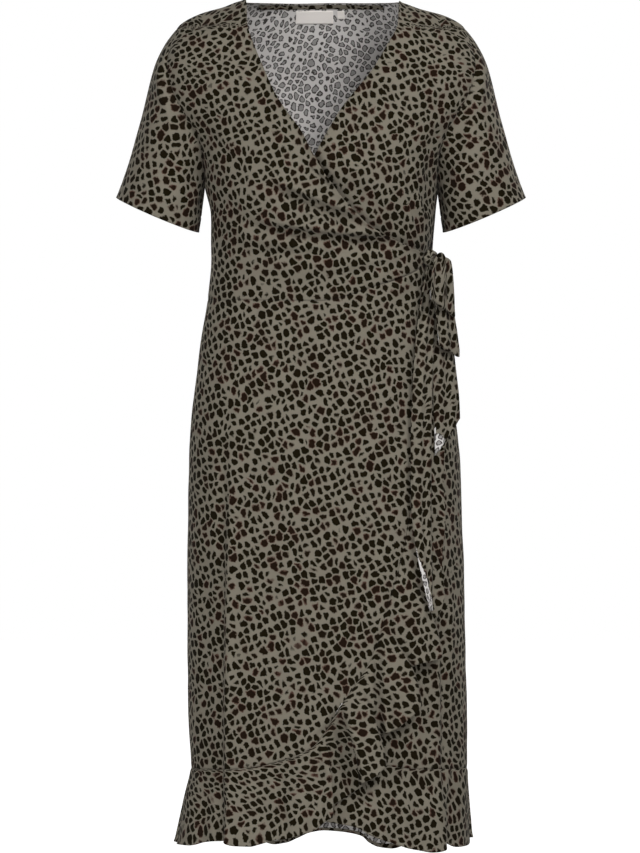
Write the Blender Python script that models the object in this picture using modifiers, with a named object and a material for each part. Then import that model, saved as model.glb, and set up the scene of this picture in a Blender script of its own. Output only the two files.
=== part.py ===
"""Wrap dress: bodice, skirt, sleeves, ruffles and tie as thin cloth walls, filled out and held at the shoulders.

The origin is level with the neck points, midway between them. +Z is up, the front faces -Y, and +X is the wearer's
left. Tables and sizes are in millimetres, and meshes are made in metres.
"""

from collections import namedtuple

import bmesh
import bpy
import numpy as np

MM = 0.001

# Driving sizes.
WALL = 1.2  # thickness of the cloth
SEAM_GAP = 0.4  # between two pieces that are sewn together
TRIM_GAP = 0.6
END_GAP = 1.8  # more at the binding's ends, where the neck turns sharply
RUFFLE_GAP = 1.2  # a little more where a gathered edge meets a plain one
LAYER = 3.4  # how far the over front stands off the under front
WAIST = -421.0  # height of the waist seam at the sides
RUFFLE_SEAM = -1084.0  # height of the hem ruffle's seam at the sides
RUFFLE_DEPTH = 107.0  # from the ruffle's seam to its free edge
NECK_HALF = 107.0  # from the centre to a neck point
NECK_BACK = 72.0  # how far the back neck curves back
ARMHOLE_TOP = -36.0
UNDERARM = -251.0
ARMHOLE_FRONT = 54.0  # depth of the armhole in front of the shoulder line
ARMHOLE_BACK = 60.0
SHOULDER_ROLL = 130.0  # height over which the cloth rounds off the shoulder
SQUARENESS = 2.3  # 2 would make each section an ellipse
CAP_LIMIT = 0.85  # most that the armhole's depth may be of the section's
PRESS = 2.2  # how far the under front gives way below the wrap edge
SIDE_TAPER = 24.0  # degrees from the side seam over which the over front lifts to its layer
LABEL_WALL = 0.8
RUFFLE_HANG = 0.65  # 0 would make a ruffle stand straight out from its seam, 1 hang straight down
HEM_PITCH = 46.0  # between the ruffle's waves along the hem
OVER_PITCH = 58.0  # between the waves of the over front's ruffle
BACK_WAVES = 10
BACK_DIP = 12.0  # how much longer the back hangs
BACK_ARCH = 24.0  # and how far it lifts again at the centre
ARM_GAP = 1.5  # from the armhole's edge to the sleeve, whose walls meet at an angle
UNDERARM_GAP = 2.3  # more at the underarm, where both walls run down side by side

# How finely each piece is divided, and how far its edges stay inside the seam lines.
FRONT_COLUMNS = 15
CROWDING = 1.3
BACK_COLUMNS = 18
NECK_COLUMN = 5  # the back's column that ends at a neck point
UPPER_ROWS = 10
LOWER_ROWS = 8
SKIRT_ROWS = 18
RUFFLE_ROWS = 4
RUFFLE_SPLIT = 3
BACK_SPLIT = 3
SLEEVE_ROWS = (0, 0.06, 0.14, 0.25, 0.4, 0.6, 0.8, 1)
SIDE_INSET = 0.0006
RUFFLE_INSET = 0.0012
TOP_INSET = 0.0007
WAIST_INSET = 0.002
SKIRT_INSET = 0.0003

# Horizontal sections below the underarm: half widths to the wearer's right and left, depths to front and back.
Section = namedtuple("Section", "height right left front back")
SECTIONS = (
    Section(0, 164, 164, 84, 92),
    Section(-60, 164, 164, 94, 100),
    Section(-120, 164, 164, 104, 108),
    Section(-180, 164, 164, 115, 110),
    Section(-251, 164, 164, 125, 106),
    Section(-300, 155, 161, 122, 99),
    Section(-360, 154, 157, 111, 92),
    Section(-421, 159, 159, 103, 90),
    Section(-493, 171, 172, 106, 104),
    Section(-551, 178, 182, 111, 120),
    Section(-609, 184, 192, 115, 129),
    Section(-650, 186, 196, 118, 131),
    Section(-727, 187, 199, 121, 131),
    Section(-868, 188, 202, 126, 133),
    Section(-1006, 187, 206, 131, 137),
    Section(-1084, 183, 206, 133, 140),
    Section(-1120, 190, 207, 136, 144),
    Section(-1200, 204, 209, 143, 153),
)

# The shoulder line from the neck point to the shoulder tip, and the armhole's edge below it.
Edge = namedtuple("Edge", "height out")
SHOULDER = (
    Edge(0, 0),
    Edge(0, 106),
    Edge(-10, 140),
    Edge(-17, 168),
    Edge(-24, 186),
    Edge(-36, 203),
    Edge(-54, 215),
    Edge(-70, 224),
)
ARMHOLE = (
    Edge(-36, 203),
    Edge(-60, 212),
    Edge(-91, 218),
    Edge(-120, 212),
    Edge(-146, 200),
    Edge(-169, 186),
    Edge(-187, 175),
    Edge(-215, 167),
    Edge(-251, 164),
)

# Edges of the two fronts. "out" is measured from the centre towards the front's own side seam.
OVER_NECK = (
    Edge(0, 106),
    Edge(-38, 103),
    Edge(-72, 91),
    Edge(-102, 78),
    Edge(-130, 65),
    Edge(-157, 48),
    Edge(-184, 28),
    Edge(-216, 12),
    Edge(-251, -9),
    Edge(-283, -34),
    Edge(-317, -68),
    Edge(-339, -106),
    Edge(-350, -130),
    Edge(-363, -150),
)
UNDER_NECK = (
    Edge(0, 110),
    Edge(-34, 108),
    Edge(-61, 94),
    Edge(-95, 74),
    Edge(-120, 54),
    Edge(-153, 28),
    Edge(-188, 7),
    Edge(-218, -10),
    Edge(-251, -34),
    Edge(-300, -72),
    Edge(-345, -100),
    Edge(-385, -118),
)
OVER_WAIST = (
    Edge(-421, 159),
    Edge(-422, 92),
    Edge(-423, 46),
    Edge(-423, 0),
    Edge(-419, -27),
    Edge(-408, -59),
    Edge(-396, -93),
    Edge(-386, -120),
    Edge(-375, -139),
    Edge(-363, -150),
)
UNDER_WAIST = (
    Edge(-421, 159),
    Edge(-422, 92),
    Edge(-423, 0),
    Edge(-410, -60),
    Edge(-385, -118),
)
OVER_SEAM = (
    Edge(-1084, 183),
    Edge(-1084, 136),
    Edge(-1081, 96),
    Edge(-1073, 62),
    Edge(-1064, 35),
    Edge(-1053, 13),
    Edge(-1030, -6),
    Edge(-999, -24),
    Edge(-972, -43),
    Edge(-943, -62),
    Edge(-910, -78),
    Edge(-867, -90),
    Edge(-825, -102),
    Edge(-775, -115),
    Edge(-718, -125),
    Edge(-676, -130),
    Edge(-619, -137),
    Edge(-568, -141),
    Edge(-520, -143),
    Edge(-478, -146),
    Edge(-421, -149),
    Edge(-363, -150),
)
UNDER_SEAM = (
    Edge(-1084, 183),
    Edge(-1084, 136),
    Edge(-1081, 96),
    Edge(-1073, 62),
    Edge(-1064, 35),
    Edge(-1053, 13),
    Edge(-1030, -6),
    Edge(-999, -24),
    Edge(-950, -48),
    Edge(-880, -68),
    Edge(-780, -82),
    Edge(-680, -92),
    Edge(-560, -102),
    Edge(-450, -112),
    Edge(-385, -118),
)
SEAM_CORNER = 7  # the seam's row that the front skirt's bottom corner sits on

# Soft folds that run down the skirt: angle from the wearer's left towards the front, half width, and height.
Fold = namedtuple("Fold", "angle spread rise top full")
SKIRT_FOLDS = (
    Fold(132, 7, 4.0, -560, -900),
    Fold(143, 6, -4.0, -620, -980),
    Fold(96, 9, 2.5, -700, -1050),
    Fold(110, 8, -2.5, -800, -1080),
    Fold(30, 6, -6.0, -880, -1040),
    Fold(41, 7, 4.0, -880, -1040),
    Fold(212, 9, 4.0, -560, -950),
    Fold(228, 8, -4.0, -620, -980),
    Fold(262, 10, 5.0, -600, -1000),
    Fold(280, 9, -4.0, -640, -980),
    Fold(301, 8, 4.0, -620, -980),
    Fold(322, 9, -4.0, -700, -1000),
)

# Drape folds of the over front, which fan out from the knot: the row they follow at the side seam and at the
# wrap edge (0 is the underarm's row, 1 the waist seam), half width in rows, and where they start and end across.
Drape = namedtuple("Drape", "row_side row_edge spread rise start full end")
DRAPES = (
    Drape(0.10, 0.36, 0.070, 3.0, 0.42, 0.70, 0.98),
    Drape(0.34, 0.58, 0.080, 6.5, 0.28, 0.62, 0.98),
    Drape(0.66, 0.80, 0.070, 2.5, 0.30, 0.60, 0.96),
)

# Sleeve rings in the front view: the outer and inner ends of each ring, and its half depth.
Ring = namedtuple("Ring", "along outer_x outer_z inner_x inner_z depth")
SLEEVE = (
    Ring(0.00, 203, -36, 164, -251, 57),
    Ring(0.12, 221, -60, 165, -261, 61),
    Ring(0.27, 235, -88, 166, -273, 64),
    Ring(0.46, 246, -132, 168, -288, 66),
    Ring(0.65, 258, -180, 170, -303, 66),
    Ring(0.84, 273, -232, 172, -315, 65),
    Ring(1.00, 290, -276, 174, -325, 64),
)
CUFF_DIP = 5.0  # how much lower the sleeve's hem hangs in front

# The tie: centre line, the turn of its width in plan (0 faces the front, 90 the wearer's left), and half width.
Station = namedtuple("Station", "x y z turn half")
LOOP_FRONT = (
    Station(163.05, -66.05, -367, 41, 4),
    Station(168, -70, -361, 42, 10),
    Station(171, -77, -366, 43, 17),
    Station(171, -80, -390, 43, 21),
    Station(171, -80, -415, 43, 23),
    Station(172, -78, -430, 43, 23),
    Station(172, -74, -433, 43, 23),
    Station(171, -71, -426, 43, 23),
    Station(170, -70.5, -405, 43, 18),
    Station(167, -70, -379, 43, 6),
)
LOOP_BACK = (
    Station(164.4, -59.0, -369, 60, 3.5),
    Station(168, -60, -380, 48, 8),
    Station(171, -61, -398, 42, 13),
    Station(174, -61, -430, 43, 17),
    Station(179, -65, -470, 43, 20),
    Station(181, -67, -487, 43, 20),
    Station(181, -64, -494, 43, 20),
    Station(180, -60.5, -487, 43, 20),
    Station(178, -57.5, -470, 43, 19),
    Station(171, -51, -425, 43, 15),
    Station(166, -52, -388, 42, 6),
)
END_SHORT = (
    Station(158, -56.3, -374.4, 42, 3),
    Station(162, -47, -388, 42, 9),
    Station(166, -44, -420, 42, 15),
    Station(172, -52, -480, 42, 20),
    Station(176, -63, -540, 42, 23),
    Station(178, -71, -580, 42, 24),
    Station(179, -75, -615, 42, 24),
)
END_LONG = (
    Station(152.5, -63.1, -374.0, 38, 2.5),
    Station(151.5, -62, -386, 38, 7),
    Station(150, -62, -420, 36, 12),
    Station(146, -77, -480, 32, 15),
    Station(144, -92, -540, 30, 17),
    Station(142, -104, -620, 28, 18),
    Station(142, -110, -740, 26, 18),
    Station(142, -117, -800, 24, 18),
    Station(142, -123, -858, 22, 18),
)
FRONT_SLANT = -14.0  # how much lower each loop hangs at its outer edge
BACK_SLANT = -8.0
END_SLANT = 26.0  # the ends are cut slanting, longer at their inner edge
KNOT = (154.8, -59.2, -362.6)
KNOT_HALF = (10.0, 9.0, 12.0)
KNOT_WRAPS = 3  # turns of cloth around the knot


def smooth(xs, ys, x):
    """A smooth curve through the points that never overshoots them. xs must rise."""
    xs = np.asarray(xs, float)
    ys = np.asarray(ys, float)
    step = np.diff(xs)
    rate = np.diff(ys) / step
    slope = np.zeros_like(ys)
    slope[0] = rate[0]
    slope[-1] = rate[-1]
    product = rate[1:] * rate[:-1]
    total = rate[1:] + rate[:-1]
    same = product > 0
    slope[1:-1][same] = 2 * product[same] / total[same]
    x = np.clip(x, xs[0], xs[-1])
    i = np.clip(np.searchsorted(xs, x) - 1, 0, len(step) - 1)
    t = (x - xs[i]) / step[i]
    low = ys[i] * (1 + 2 * t) * (1 - t) ** 2 + slope[i] * step[i] * t * (1 - t) ** 2
    high = ys[i + 1] * t * t * (3 - 2 * t) - slope[i + 1] * step[i] * t * t * (1 - t)
    return low + high


def ease(x):
    """0 below 0, 1 above 1, and smooth between."""
    t = np.clip(x, 0, 1)
    return t * t * (3 - 2 * t)


def column(table, name, height):
    """A table's column read at a height. The table runs downwards."""
    heights = [-row.height for row in table]
    return smooth(heights, [getattr(row, name) for row in table], -np.asarray(height, float))


def shoulder_height(x):
    reach = [row.out for row in SHOULDER]
    return smooth(reach, [row.height for row in SHOULDER], np.abs(x))


def roll(x, height):
    """How far the cloth has come out from the shoulder line: 0 on it, 1 a full roll below."""
    drop = np.clip((shoulder_height(x) - height) / SHOULDER_ROLL, 0, 1)
    return np.sqrt(1 - (1 - drop) ** 2)


def armhole_share(height, back):
    """The armhole edge's depth as a share of the section's depth at that height."""
    height = np.minimum(height, ARMHOLE_TOP - 0.01)
    middle = (ARMHOLE_TOP + UNDERARM) / 2
    half = (ARMHOLE_TOP - UNDERARM) / 2
    round_off = np.sqrt(np.clip(1 - ((height - middle) / half) ** 2, 0, 1))
    wanted = np.where(back, ARMHOLE_BACK, ARMHOLE_FRONT) * round_off
    depth = np.where(back, column(SECTIONS, "back", height), column(SECTIONS, "front", height))
    out = column(ARMHOLE, "out", height)
    available = depth * roll(out, height)
    share = wanted / np.maximum(available, 1)
    return np.where(height <= UNDERARM, 0, np.minimum(share, CAP_LIMIT))


def half_width(height, left, back):
    """Half width of the section. Above the underarm it runs on past the armhole's edge."""
    plain = np.where(left, column(SECTIONS, "left", height), column(SECTIONS, "right", height))
    share = armhole_share(height, back)
    reach = column(ARMHOLE, "out", height) / rest_of(share)
    return np.where(height > UNDERARM, reach, plain)


def rest_of(share):
    """The other coordinate of a point on a section, both as shares of the section's half sizes."""
    return (1 - np.clip(np.abs(share), 0, 1) ** SQUARENESS) ** (1 / SQUARENESS)


def section(angle):
    """A section's point at an angle, as shares of its half width and its depth."""
    across = np.cos(np.radians(angle))
    deep = np.sin(np.radians(angle))
    size = (np.abs(across) ** SQUARENESS + np.abs(deep) ** SQUARENESS) ** (1 / SQUARENESS)
    return across / size, deep / size


def angle_of(share):
    """The angle at which a section's point lies that share of its half width out."""
    return np.degrees(np.arctan2(rest_of(share), np.clip(share, -1, 1)))


def figure(angle, height):
    """The cloth's inner surface. The angle is in degrees from the wearer's left side, through the front."""
    across, deep = section(angle)
    back = deep < 0
    x = half_width(height, across > 0, back) * across
    y = -deep * np.where(back, column(SECTIONS, "back", height), column(SECTIONS, "front", height))
    neck = NECK_BACK * np.sqrt(np.clip(1 - (x / NECK_HALF) ** 2, 0, 1))
    rim = np.where(back, neck, 0)
    y = rim + (y - rim) * roll(x, height)
    return np.stack([x, y, height + 0 * x], axis=-1)


def outward(angle, height):
    """The figure's unit normal, from points a short way around."""
    across = figure(angle + 0.4, height) - figure(angle - 0.4, height)
    down = figure(angle, height - 1) - figure(angle, height + 1)
    normal = np.cross(across, down)
    return normal / np.linalg.norm(normal, axis=-1, keepdims=True)


def lifted(angle, height, rise):
    """Points that stand off the figure along its normal."""
    return figure(angle, height) + outward(angle, height) * np.asarray(rise)[..., None]


def angle_at(out, height, back=False):
    """The angle from an own side seam where the surface is so far out from the centre."""
    out = np.asarray(out, float)
    return angle_of(out / half_width(height, out < 0, back))


def edge_curve(table):
    """An edge as a function of its share of length, giving angle and height."""
    heights = np.array([row.height for row in table], float)
    outs = np.array([row.out for row in table], float)
    lengths = np.concatenate([[0], np.cumsum(np.hypot(np.diff(heights), np.diff(outs)))])
    angles = angle_at(outs, heights)

    def curve(share):
        along = np.asarray(share, float) * lengths[-1]
        return smooth(lengths, angles, along), smooth(lengths, heights, along)

    return curve


def part_of(curve, start, end):
    return lambda share: curve(start + (end - start) * np.asarray(share, float))


def length_share(table, row):
    """The share of an edge's length that lies before one of its rows."""
    steps = [np.hypot(b.height - a.height, b.out - a.out) for a, b in zip(table, table[1:])]
    return sum(steps[:row]) / sum(steps)


def patch(top, bottom, side, edge):
    """Blends four boundary curves of angle and height. u runs from side to edge, v from top to bottom."""
    corners = [np.array(curve(end)) for curve in (top, bottom) for end in (0.0, 1.0)]

    def inside(u, v):
        blends = []
        for k in (0, 1):
            across = (1 - v) * top(u)[k] + v * bottom(u)[k]
            down = (1 - u) * side(v)[k] + u * edge(v)[k]
            bent = (1 - u) * (1 - v) * corners[0][k] + u * (1 - v) * corners[1][k]
            bent = bent + (1 - u) * v * corners[2][k] + u * v * corners[3][k]
            blends.append(across + down - bent)
        return blends

    return inside


def straight(start, end):
    return lambda share: tuple(a + (b - a) * np.asarray(share, float) for a, b in zip(start, end))


def row_share(v):
    """How far down from the shoulder line a row lies. Rows crowd where the armhole is round."""
    return (1 - np.cos(np.pi * np.clip(v, 0, 1))) / 2


def armhole_height(v):
    heights = np.linspace(ARMHOLE_TOP, UNDERARM, 400)
    tops = shoulder_height(column(ARMHOLE, "out", heights))
    shares = (tops - heights) / (tops - UNDERARM)
    return np.interp(row_share(v), shares, heights)


def armhole_angle(v, back):
    """The armhole edge's angle from its own side seam."""
    return angle_of(rest_of(armhole_share(armhole_height(v), back)))


def upper_row(angle, v, back):
    """Angle and height on a row that runs along the shoulder line at its top and level at the underarm."""
    out = half_width(armhole_height(v), True, back) * section(angle)[0]
    height = shoulder_height(out) * (1 - row_share(v)) + UNDERARM * row_share(v)
    return angle_at(out, height, back), height


def front_bodice(neck, waist):
    """Angle and height on a front. v is 0 at the shoulder, 1 at the underarm and 2 at the waist seam."""
    neck_rows = [row for row in neck if row.height >= UNDERARM]
    below = [row for row in neck if row.height <= UNDERARM]
    start = (0.0, UNDERARM)
    corner = (float(angle_at(below[0].out, UNDERARM)), UNDERARM)
    lower = patch(
        straight(start, corner),
        edge_curve(waist),
        straight(start, (0.0, WAIST)),
        edge_curve(below),
    )

    def place(u, v):
        high = np.clip(v, 0, 1)
        side_angle = armhole_angle(high, False)
        out = column(neck_rows, "out", UNDERARM * row_share(high))
        neck_angle = angle_of(out / half_width(armhole_height(high), True, False))
        high_angle, high_height = upper_row(side_angle + (neck_angle - side_angle) * u, high, False)
        low_angle, low_height = lower(u, np.clip(v - 1, 0, 1))
        return np.where(v > 1, low_angle, high_angle), np.where(v > 1, low_height, high_height)

    return place


def front_skirt(waist, seam):
    """Angle and height on a front skirt: waist seam at the top, ruffle seam along the bottom and the edge."""
    whole = edge_curve(seam)
    corner = length_share(seam, SEAM_CORNER)
    bottom = part_of(whole, 0, corner)
    edge = part_of(whole, 1, corner)
    return patch(edge_curve(waist), bottom, straight((0.0, WAIST), (0.0, RUFFLE_SEAM)), edge)


def back_bodice(u, v):
    """Angle and height on the back. u runs from the wearer's left to the right."""
    high = np.clip(v, 0, 1)
    side_angle = armhole_angle(high, True)
    top_side = armhole_angle(0.0, True)
    neck_angle = angle_of(NECK_HALF / half_width(ARMHOLE_TOP, True, True))
    neck_share = (neck_angle - top_side) / (180 - 2 * top_side)
    corner = NECK_COLUMN / BACK_COLUMNS
    spread = np.interp(u, (0, corner, 1 - corner, 1), (0, neck_share, 1 - neck_share, 1))
    across = spread + (u - spread) * row_share(high)
    high_angle, high_height = upper_row(side_angle + (180 - 2 * side_angle) * across, high, True)
    low_height = UNDERARM + (WAIST - UNDERARM) * np.clip(v - 1, 0, 1)
    angle = np.where(v > 1, 180 * u, high_angle)
    return 360 - angle, np.where(v > 1, low_height, high_height)


def back_skirt(u, v):
    return 360 - 180 * u, WAIST + (RUFFLE_SEAM - WAIST) * v


def skirt_folds(angle, height):
    rise = 0
    for fold in SKIRT_FOLDS:
        grown = ease((fold.top - height) / (fold.top - fold.full))
        rise = rise + fold.rise * grown * np.exp(-(((angle - fold.angle) / fold.spread) ** 2))
    return rise


def drape_folds(u, v):
    rise = 0
    for drape in DRAPES:
        middle = drape.row_side + (drape.row_edge - drape.row_side) * u
        along = ease((u - drape.start) / (drape.full - drape.start)) * ease((drape.end - u) / 0.2)
        rise = rise + drape.rise * along * np.exp(-(((v - 1 - middle) / drape.spread) ** 2))
    return rise


def finish(name, mesh, colour):
    """Gives a mesh its object, its own material and its place in the garment's collection."""
    mesh.shade_smooth()
    piece = bpy.data.objects.new(name, mesh)
    material = bpy.data.materials.new(name)
    material.use_nodes = True
    shader = material.node_tree.nodes["Principled BSDF"]
    shader.inputs["Base Color"].default_value = (*colour, 1)
    shader.inputs["Roughness"].default_value = 0.8
    shader.inputs["Metallic"].default_value = 0.0
    mesh.materials.append(material)
    collection.objects.link(piece)
    return piece


def cloth(name, points, colour, wall=WALL, closed=False):
    """A wall of cloth on a grid of points, thickened outwards. A closed grid joins its last column to its first."""
    rows, columns = points.shape[:2]
    mesh = bpy.data.meshes.new(name)
    faces = []
    for i in range(rows - 1):
        for j in range(columns if closed else columns - 1):
            k = (j + 1) % columns
            faces.append((i * columns + j, (i + 1) * columns + j, (i + 1) * columns + k, i * columns + k))
    mesh.from_pydata((points.reshape(-1, 3) * MM).tolist(), [], faces)
    piece = finish(name, mesh, colour)
    solid = piece.modifiers.new("wall", "SOLIDIFY")
    solid.thickness = wall * MM
    solid.offset = 1
    solid.use_even_offset = True


def grid(columns, rows, across=(0, 1), down=(0, 1)):
    return np.meshgrid(np.linspace(*across, columns + 1), np.linspace(*down, rows + 1))


OLIVE = (0.09, 0.075, 0.055)
DARK = (0.05, 0.04, 0.03)
WHITE = (0.75, 0.73, 0.72)

for old in list(bpy.data.objects):
    bpy.data.objects.remove(old, do_unlink=True)
collection = bpy.data.collections.new("wrap_dress")
bpy.context.scene.collection.children.link(collection)


def arc_rate(angle, height):
    """Millimetres along the section for each degree."""
    step = 0.5
    span = figure(angle + step, height) - figure(angle - step, height)
    return np.linalg.norm(span, axis=-1) / (2 * step)


def front_columns():
    """Where a front's columns lie across it. They crowd towards its free edge, where the cloth turns the side."""
    even = np.linspace(0, 1, FRONT_COLUMNS + 1)
    return SIDE_INSET + (1 - SIDE_INSET) * (1 - (1 - even) ** CROWDING)


def worn(place, own_left, rise, u, v):
    """A front's points, lifted by its layer and folds. Columns run with +X, so the wall faces out."""
    own = 1 - u if own_left else u
    angle, height = place(own, v)
    around = angle if own_left else 180 - angle
    return lifted(around, height, rise(own, v, angle, height) + skirt_folds(around, height))


def layer(angle):
    """How far the over front stands off the under front. It comes down to its own side seam."""
    return LAYER * ease(angle / SIDE_TAPER)


def over_layer(u, v, angle, height):
    return layer(angle)


def pressed(u, v, angle, height):
    """The under front gives way where the over front draws tight across it, below its wrap edge."""
    out = -figure(angle, height)[..., 0]
    edge = np.interp(out, [row.out for row in OVER_NECK[::-1]], [row.height for row in OVER_NECK[::-1]])
    return -PRESS * ease((edge - height + 20) / 40) * ease((height + 520) / 100)


def refine(line, times):
    """A polyline with each stretch split evenly, so that two pieces share their seam's corners."""
    old = np.arange(len(line))
    new = np.linspace(0, len(line) - 1, (len(line) - 1) * times + 1)
    return np.stack([np.interp(new, old, line[:, k]) for k in range(3)], axis=-1)


def sewn_on(points, seam):
    """Moves a ruffle's first row onto the seam's corners, a seam gap away."""
    along = np.gradient(seam, axis=0)
    along = along / np.linalg.norm(along, axis=-1, keepdims=True)
    away = points[1] - seam
    away = away - along * np.sum(away * along, axis=-1, keepdims=True)
    points[0] = seam + RUFFLE_GAP * away / np.linalg.norm(away, axis=-1, keepdims=True)
    return points


def ruffle_place(curve, own_left, depth_of):
    """Angle and height on a ruffle. u runs along its seam and v from the seam to the free edge."""

    def place(u, v):
        angle, height = curve(u)
        ahead = curve(np.clip(u + 0.004, 0, 1))
        behind = curve(np.clip(u - 0.004, 0, 1))
        rate = arc_rate(angle if own_left else 180 - angle, height)
        run = (ahead[0] - behind[0]) * rate
        climb = ahead[1] - behind[1]
        size = np.hypot(run, climb)
        side = (1 - RUFFLE_HANG) * climb / size
        drop = RUFFLE_HANG + (1 - RUFFLE_HANG) * run / size
        reach = depth_of(u) * v / np.hypot(side, drop)
        return angle + reach * side / rate, height - reach * drop

    return place


def waves(length, pitch):
    """Uneven gathers, 0 in the valleys and 1 on the crests."""
    wander = 0.30 * np.sin(2 * np.pi * length / (3.3 * pitch)) + 0.18 * np.sin(2 * np.pi * length / (1.9 * pitch))
    return 0.5 - 0.5 * np.cos(2 * np.pi * (length / pitch + wander))


def strip(table, rows, columns, crown, slant):
    """A length of tie: a band along its stations, a little crowned across, and sheared by its slant."""
    spots = np.array([(row.x, row.y, row.z) for row in table], float)
    along = np.concatenate([[0], np.cumsum(np.linalg.norm(np.diff(spots, axis=0), axis=1))])
    across, down = grid(columns, rows, across=(-1, 1), down=(0, along[-1]))
    middle = np.stack([smooth(along, spots[:, k], down) for k in range(3)], axis=-1)
    turn = np.radians(smooth(along, [row.turn for row in table], down))
    half = smooth(along, [row.half for row in table], down)
    width = np.stack([np.cos(turn), np.sin(turn), 0 * turn], axis=-1)
    normal = np.cross(np.gradient(middle, axis=0), width)
    normal = normal / np.linalg.norm(normal, axis=-1, keepdims=True)
    points = middle + width * (across * half)[..., None] + normal * (crown * (1 - across**2))[..., None]
    points[..., 2] += across * slant(down / along[-1])
    return points


def bodice():
    rows = np.arange(UPPER_ROWS + LOWER_ROWS + 1)
    v = np.where(rows <= UPPER_ROWS, rows / UPPER_ROWS, 1 + (rows - UPPER_ROWS) / LOWER_ROWS)
    v[0] = TOP_INSET
    v[-1] = 2 - WAIST_INSET
    u, v = np.meshgrid(front_columns(), v)

    def over_rise(u, v, angle, height):
        return layer(angle - armhole_angle(np.minimum(v, 1), False)) + drape_folds(u, v)

    over = worn(front_bodice(OVER_NECK, OVER_WAIST), False, over_rise, u, v)
    under = worn(front_bodice(UNDER_NECK, UNDER_WAIST), True, pressed, 1 - u[:, ::-1], v)
    cloth("right_front_bodice", over, OLIVE)
    cloth("left_front_bodice", under, OLIVE)
    back_u, _ = grid(BACK_COLUMNS, UPPER_ROWS + LOWER_ROWS, across=(SIDE_INSET, 1 - SIDE_INSET))
    back = figure(*back_bodice(back_u, v[:, :1] + 0 * back_u))
    cloth("back_bodice", back, OLIVE)
    return back


def skirt():
    u, v = np.meshgrid(front_columns(), np.linspace(SKIRT_INSET, 1, SKIRT_ROWS + 1))
    over = worn(front_skirt(OVER_WAIST, OVER_SEAM), False, over_layer, u, v)
    under = worn(front_skirt(UNDER_WAIST, UNDER_SEAM), True, pressed, 1 - u[:, ::-1], v)
    cloth("right_front_skirt", over, OLIVE)
    cloth("left_front_skirt", under, OLIVE)
    u, v = grid(BACK_COLUMNS, SKIRT_ROWS, across=(SIDE_INSET, 1 - SIDE_INSET), down=(SKIRT_INSET, 1))
    angle, height = back_skirt(u, v)
    back = lifted(angle, height, skirt_folds(angle, height))
    cloth("back_skirt", back, OLIVE)
    return over, under, back


def seam_shares(seam):
    """Where the corners of a front skirt's bottom and edge lie along its ruffle seam."""
    corner = length_share(seam, SEAM_CORNER)
    bottom = front_columns() * corner
    edge = corner + (1 - corner) * np.linspace(0, 1 - SKIRT_INSET, SKIRT_ROWS + 1)
    return np.concatenate([bottom, edge[1:]])


def front_ruffle(name, seam, own_left, panel, rise, last):
    """The strip along one front's hem and edge, over its first corners up to the last."""
    shares = seam_shares(seam)
    line = np.concatenate([panel[-1], panel[-2::-1, -1]]) if not own_left else None
    if own_left:
        line = np.concatenate([panel[-1, ::-1], panel[-2::-1, 0]])
    shares = shares[: last + 1]
    line = line[: last + 1]
    times = RUFFLE_SPLIT
    fine = np.interp(np.linspace(0, last, last * times + 1), np.arange(last + 1), shares)
    u = np.repeat(fine[None], RUFFLE_ROWS + 1, axis=0)
    v = np.repeat(np.linspace(0, 1, RUFFLE_ROWS + 1)[:, None], len(fine), axis=1)
    length = sum(np.hypot(b.height - a.height, b.out - a.out) for a, b in zip(seam, seam[1:]))

    def depth_of(share):
        to_knot = (1 - share) * length
        return RUFFLE_DEPTH * (0.35 + 0.65 * ease(to_knot / 160))

    place = ruffle_place(edge_curve(seam), own_left, depth_of)

    def rise_at(u, v, angle, height):
        return rise(u * length, v, angle)

    points = worn(place, own_left, rise_at, 1 - u if own_left else u, v)
    points = sewn_on(points, refine(line, times))
    if own_left:
        points = points[:, ::-1]
    cloth(name, points, OLIVE)


def ruffles(over_skirt, under_skirt, back_skirt_points):
    def over(length, v, angle):
        height_of_wave = 5 + 9 * ease((length - 260) / 200) - 10 * ease((length - 720) / 200)
        crest = height_of_wave * v**1.4 * waves(length, OVER_PITCH)
        stand_off = 1.5 * ease(length / 60) + 4 * ease((length - 180) / 80)
        return layer(angle) + stand_off * v**1.4 + crest

    def under(length, v, angle):
        height_of_wave = 5 - 10 * ease((length - 20) / 80)
        return height_of_wave * v**1.2 * waves(length, HEM_PITCH) * ease(length / 25)

    last = FRONT_COLUMNS + SKIRT_ROWS
    front_ruffle("right_front_ruffle", OVER_SEAM, False, over_skirt, over, last)
    front_ruffle("left_front_ruffle", UNDER_SEAM, True, under_skirt, under, FRONT_COLUMNS + 3)
    columns = BACK_COLUMNS * BACK_SPLIT
    u, v = grid(columns, RUFFLE_ROWS, across=(RUFFLE_INSET, 1 - RUFFLE_INSET))
    angle = 360 - 180 * u
    across = figure(angle, RUFFLE_SEAM)[..., 0]
    dip = BACK_DIP - BACK_ARCH * np.exp(-(((across - 8) / 40) ** 2))
    height = RUFFLE_SEAM - (RUFFLE_DEPTH + dip * ease(np.sin(np.pi * u) / 0.6)) * v
    gathers = 6 * v**1.2 * waves(u * BACK_WAVES * HEM_PITCH, HEM_PITCH) * ease(u / 0.03) * ease((1 - u) / 0.03)
    points = lifted(angle, height, gathers + skirt_folds(angle, height))
    cloth("back_hem_ruffle", sewn_on(points, refine(back_skirt_points[-1], BACK_SPLIT)), OLIVE)


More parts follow.
